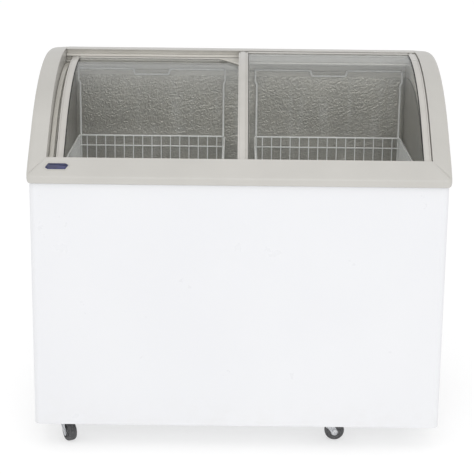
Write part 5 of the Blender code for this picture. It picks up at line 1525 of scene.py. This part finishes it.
# dial marks: eleven raised ticks that grow round the scale
for k in range(11):
    a = math.radians(-135 + 27 * k)
    tick = spot @ Matrix.Rotation(a + math.pi / 2, 4, "Z") @ Matrix.Translation((0.0, -0.0220, 0.0))
    size = 0.0016 + 0.00018 * k
    shape = fillet([(-0.0006, -size), (0.0006, -size), (0.0006, size), (-0.0006, size)], 0.0003, 3)
    add_prism(bm, shape, 0.0015, 0.0023, tick, 0.0002)
for sx in (-1, 1):
    for sy in (-1, 1):
        add_pan_head(bm, spot @ Matrix.Translation((sx * 0.0245, sy * 0.0245, 0.0018)), 0.0024, 0.0008)
piece("thermostat_dial_plate", mesh_of("thermostat_dial_plate", bm), DARK, "cabinet", ["thermostat_plate"], 32)
bm = bmesh.new()
knob_at = on_back(kx, kz, bf + 0.0023)
steps = 96
rings = []
for r, z in ((0.0155, 0.0), (0.0155, 0.0008), (0.0152, 0.0030), (0.0147, 0.0040), (0.0137, 0.0047), (0.0118, 0.0050)):
    ring = []
    for k in range(steps):
        a = 2 * math.pi * k / steps
        flute = 0.00035 * (1 if z < 0.0045 else 0.3) * math.cos(16 * a)
        ring.append(knob_at @ Vector(((r - 0.00035 + flute) * math.cos(a), (r - 0.00035 + flute) * math.sin(a), z)))
    rings.append(ring)
add_loft(bm, rings)
pointer = fillet([(-0.0009, 0.003), (0.0009, 0.003), (0.0006, 0.0125), (-0.0006, 0.0125)], 0.0003, 3)
add_prism(bm, pointer, 0.0045, 0.0050, knob_at, 0.0001)
piece("thermostat_grip", mesh_of("thermostat_grip", bm), HUB, "thermostat_knob", ["thermostat_knob"], 32)
bm = bmesh.new()
gx, gz = GLAND
gl = on_back(gx, gz, bf)
nut = fillet([(0.0108 * math.cos(math.pi / 3 * k), 0.0108 * math.sin(math.pi / 3 * k)) for k in range(6)], 0.0012, 3)
add_prism(bm, nut, 0.0, 0.0030, gl, 0.0005)
add_turned(bm, [(0.0080, 0.0028), (0.0082, 0.0034), (0.0078, 0.0044), (0.0072, 0.0062), (0.0064, 0.0069), (0.0052, 0.0069),
                (0.0046, 0.0064), (0.0046, 0.0004), (0.0080, 0.0004), (0.0080, 0.0028)], gl, 32)
piece("gland_collar", mesh_of("gland_collar", bm), DARK, "cabinet", ["cable_gland"], 32)

# ------------------------------------------------------------------ drain
bm = bmesh.new()
seat = Matrix.Translation((DRAIN[0], DRAIN[1], LINER_Z0))
add_turned(bm, [(0.0, 0.00022), (0.0152, 0.00022), (0.0154, 0.0009), (0.0162, 0.0013), (0.0190, 0.0012), (0.0204, 0.0006), (0.0205, -0.0008),
                (0.0, -0.0008)], seat, 48)
piece("drain_seat", mesh_of("drain_seat", bm), DARK, "cabinet", [], 30)
bm = bmesh.new()
dx, dy = DRAIN
spot = Matrix.Translation((dx, dy, LINER_Z0 - 0.0018))
add_turned(bm, [(0.0130, 0.0), (0.0130, -0.0670), (0.0127, -0.0680), (0.0113, -0.0680), (0.0110, -0.0670), (0.0110, 0.0), (0.0130, 0.0)],
           spot, 36)
piece("drain_pipe", mesh_of("drain_pipe", bm), DARK, "cabinet", ["drain_tube"], 32)
bm = bmesh.new()
spot = Matrix.Translation((dx, dy, LINER_Z0 + 0.0003))
add_turned(bm, [(0.0, 0.0030), (0.0120, 0.0030), (0.0143, 0.0026), (0.0150, 0.0016), (0.0148, 0.0002), (0.0101, 0.0), (0.0100, -0.0022),
                (0.0095, -0.0026), (0.0100, -0.0032), (0.0099, -0.0060), (0.0093, -0.0066), (0.0098, -0.0072), (0.0096, -0.0110),
                (0.0080, -0.0120), (0.0, -0.0120)], spot, 40)
pull = [spot @ Vector((0.0058 * math.cos(a), 0.0, 0.0060 + 0.0052 * math.sin(a))) for a in spread(0.0, 2 * math.pi, 24)[:-1]]
add_tube(bm, pull, 0.0011, 8, closed=True)
piece("drain_stopper", mesh_of("drain_stopper", bm), SEAL, "drain_plug", ["drain_plug"], 32)

# ------------------------------------------------------------------ the rest of the CAD nodes keep their shape
CARRIED = {
    "base_pan": ZINC, "foam_insulation": FOAM, "evaporator_coil": COPPER, "condenser_coil": COPPER,
    "suction_pipe": COPPER, "discharge_pipe": COPPER,
}
for node, obj in NODES.items():
    mat = CARRIED.get(node)
    if mat is None:
        continue
    for slot_at in obj.material_slots:
        slot_at.material = mat
    if not obj.material_slots:
        obj.data.materials.append(mat)

# ------------------------------------------------------------------ stage, light, camera


def floor_material():
    g = Graph("pale_floor")
    colour = g.mix(g.ramp(g.noise(0.8, 3.0), 0.3, 0.7), (0.47, 0.47, 0.47), (0.49, 0.49, 0.49))
    g.principled(colour, g.ramp(g.noise(6.0, 4.0), 0.3, 0.7, 0.62, 0.72), g.bump(g.noise(300.0, 2.0), 0.0001, 0.3),
                 Specular_IOR_Level=0.2, Emission_Color=(1.0, 1.0, 1.0, 1.0), Emission_Strength=0.56)
    return g.mat


bm = bmesh.new()
xs = spread(-30.0, 30.0, 30)
ys = spread(-30.0, 30.0, 30)
grid = [[bm.verts.new((x, y, 0.0)) for y in ys] for x in xs]
for i in range(30):
    for j in range(30):
        bm.faces.new((grid[i][j], grid[i + 1][j], grid[i + 1][j + 1], grid[i][j + 1]))
floor = bpy.data.objects.new("studio_floor", mesh_of("studio_floor", bm))
bpy.context.scene.collection.objects.link(floor)
floor.data.materials.append(floor_material())

world = bpy.data.worlds.new("soft_studio")
bpy.context.scene.world = world
world.use_nodes = True
sky = world.node_tree.nodes["Background"]
sky.inputs["Color"].default_value = (1.0, 1.0, 1.0, 1.0)
way = world.node_tree.nodes.new("ShaderNodeTexCoord")
parts = world.node_tree.nodes.new("ShaderNodeSeparateXYZ")
world.node_tree.links.new(way.outputs["Generated"], parts.inputs[0])
fade = world.node_tree.nodes.new("ShaderNodeMapRange")       # the studio is bright all round and softer overhead
world.node_tree.links.new(parts.outputs[2], fade.inputs["Value"])
fade.inputs["From Min"].default_value = 0.05
fade.inputs["From Max"].default_value = 0.95
fade.inputs["To Min"].default_value = 0.76
fade.inputs["To Max"].default_value = 0.84
world.node_tree.links.new(fade.outputs["Result"], sky.inputs["Strength"])


def area(name, place, look_at, size, power, colour=(1, 1, 1)):
    lamp = bpy.data.lights.new(name, "AREA")
    lamp.shape = "RECTANGLE"
    lamp.size, lamp.size_y = size
    lamp.energy = power
    lamp.color = colour
    obj = bpy.data.objects.new(name, lamp)
    bpy.context.scene.collection.objects.link(obj)
    obj.location = place
    obj.rotation_mode = "QUATERNION"
    obj.rotation_quaternion = (Vector(look_at) - Vector(place)).to_track_quat("-Z", "Y")
    return obj


sun = bpy.data.lights.new("wide_key", "SUN")
sun.energy = 0.26
sun.angle = math.radians(50)
sun_obj = bpy.data.objects.new("wide_key", sun)
bpy.context.scene.collection.objects.link(sun_obj)
sun_obj.rotation_euler = (math.radians(24), math.radians(-10), 0)
area("front_box", (0.3, -5.2, 2.6), (0.0, 0.0, 0.45), (3.4, 2.0), 60)
area("right_box", (2.7, -1.45, 2.35), (0.3, -0.2, 0.75), (0.40, 0.40), 4)
area("left_box", (-2.5, -1.7, 2.2), (-0.3, -0.2, 0.75), (0.40, 0.40), 2)

scene = bpy.context.scene
scene.view_settings.view_transform = "Standard"
scene.view_settings.look = "None"

camera = bpy.data.cameras.new("photo_view")
camera.sensor_width = 36.0
camera.lens = 1477.7 / 474 * 36
camera.clip_start, camera.clip_end = 0.1, 100.0
eye = bpy.data.objects.new("photo_view", camera)
scene.collection.objects.link(eye)
eye.matrix_world = (Matrix.Translation((-0.004, -3.770, 1.476)) @ Matrix.Rotation(math.radians(75.0), 4, "X") @
                    Matrix.Rotation(math.radians(0.64), 4, "Z"))
scene.camera = eye
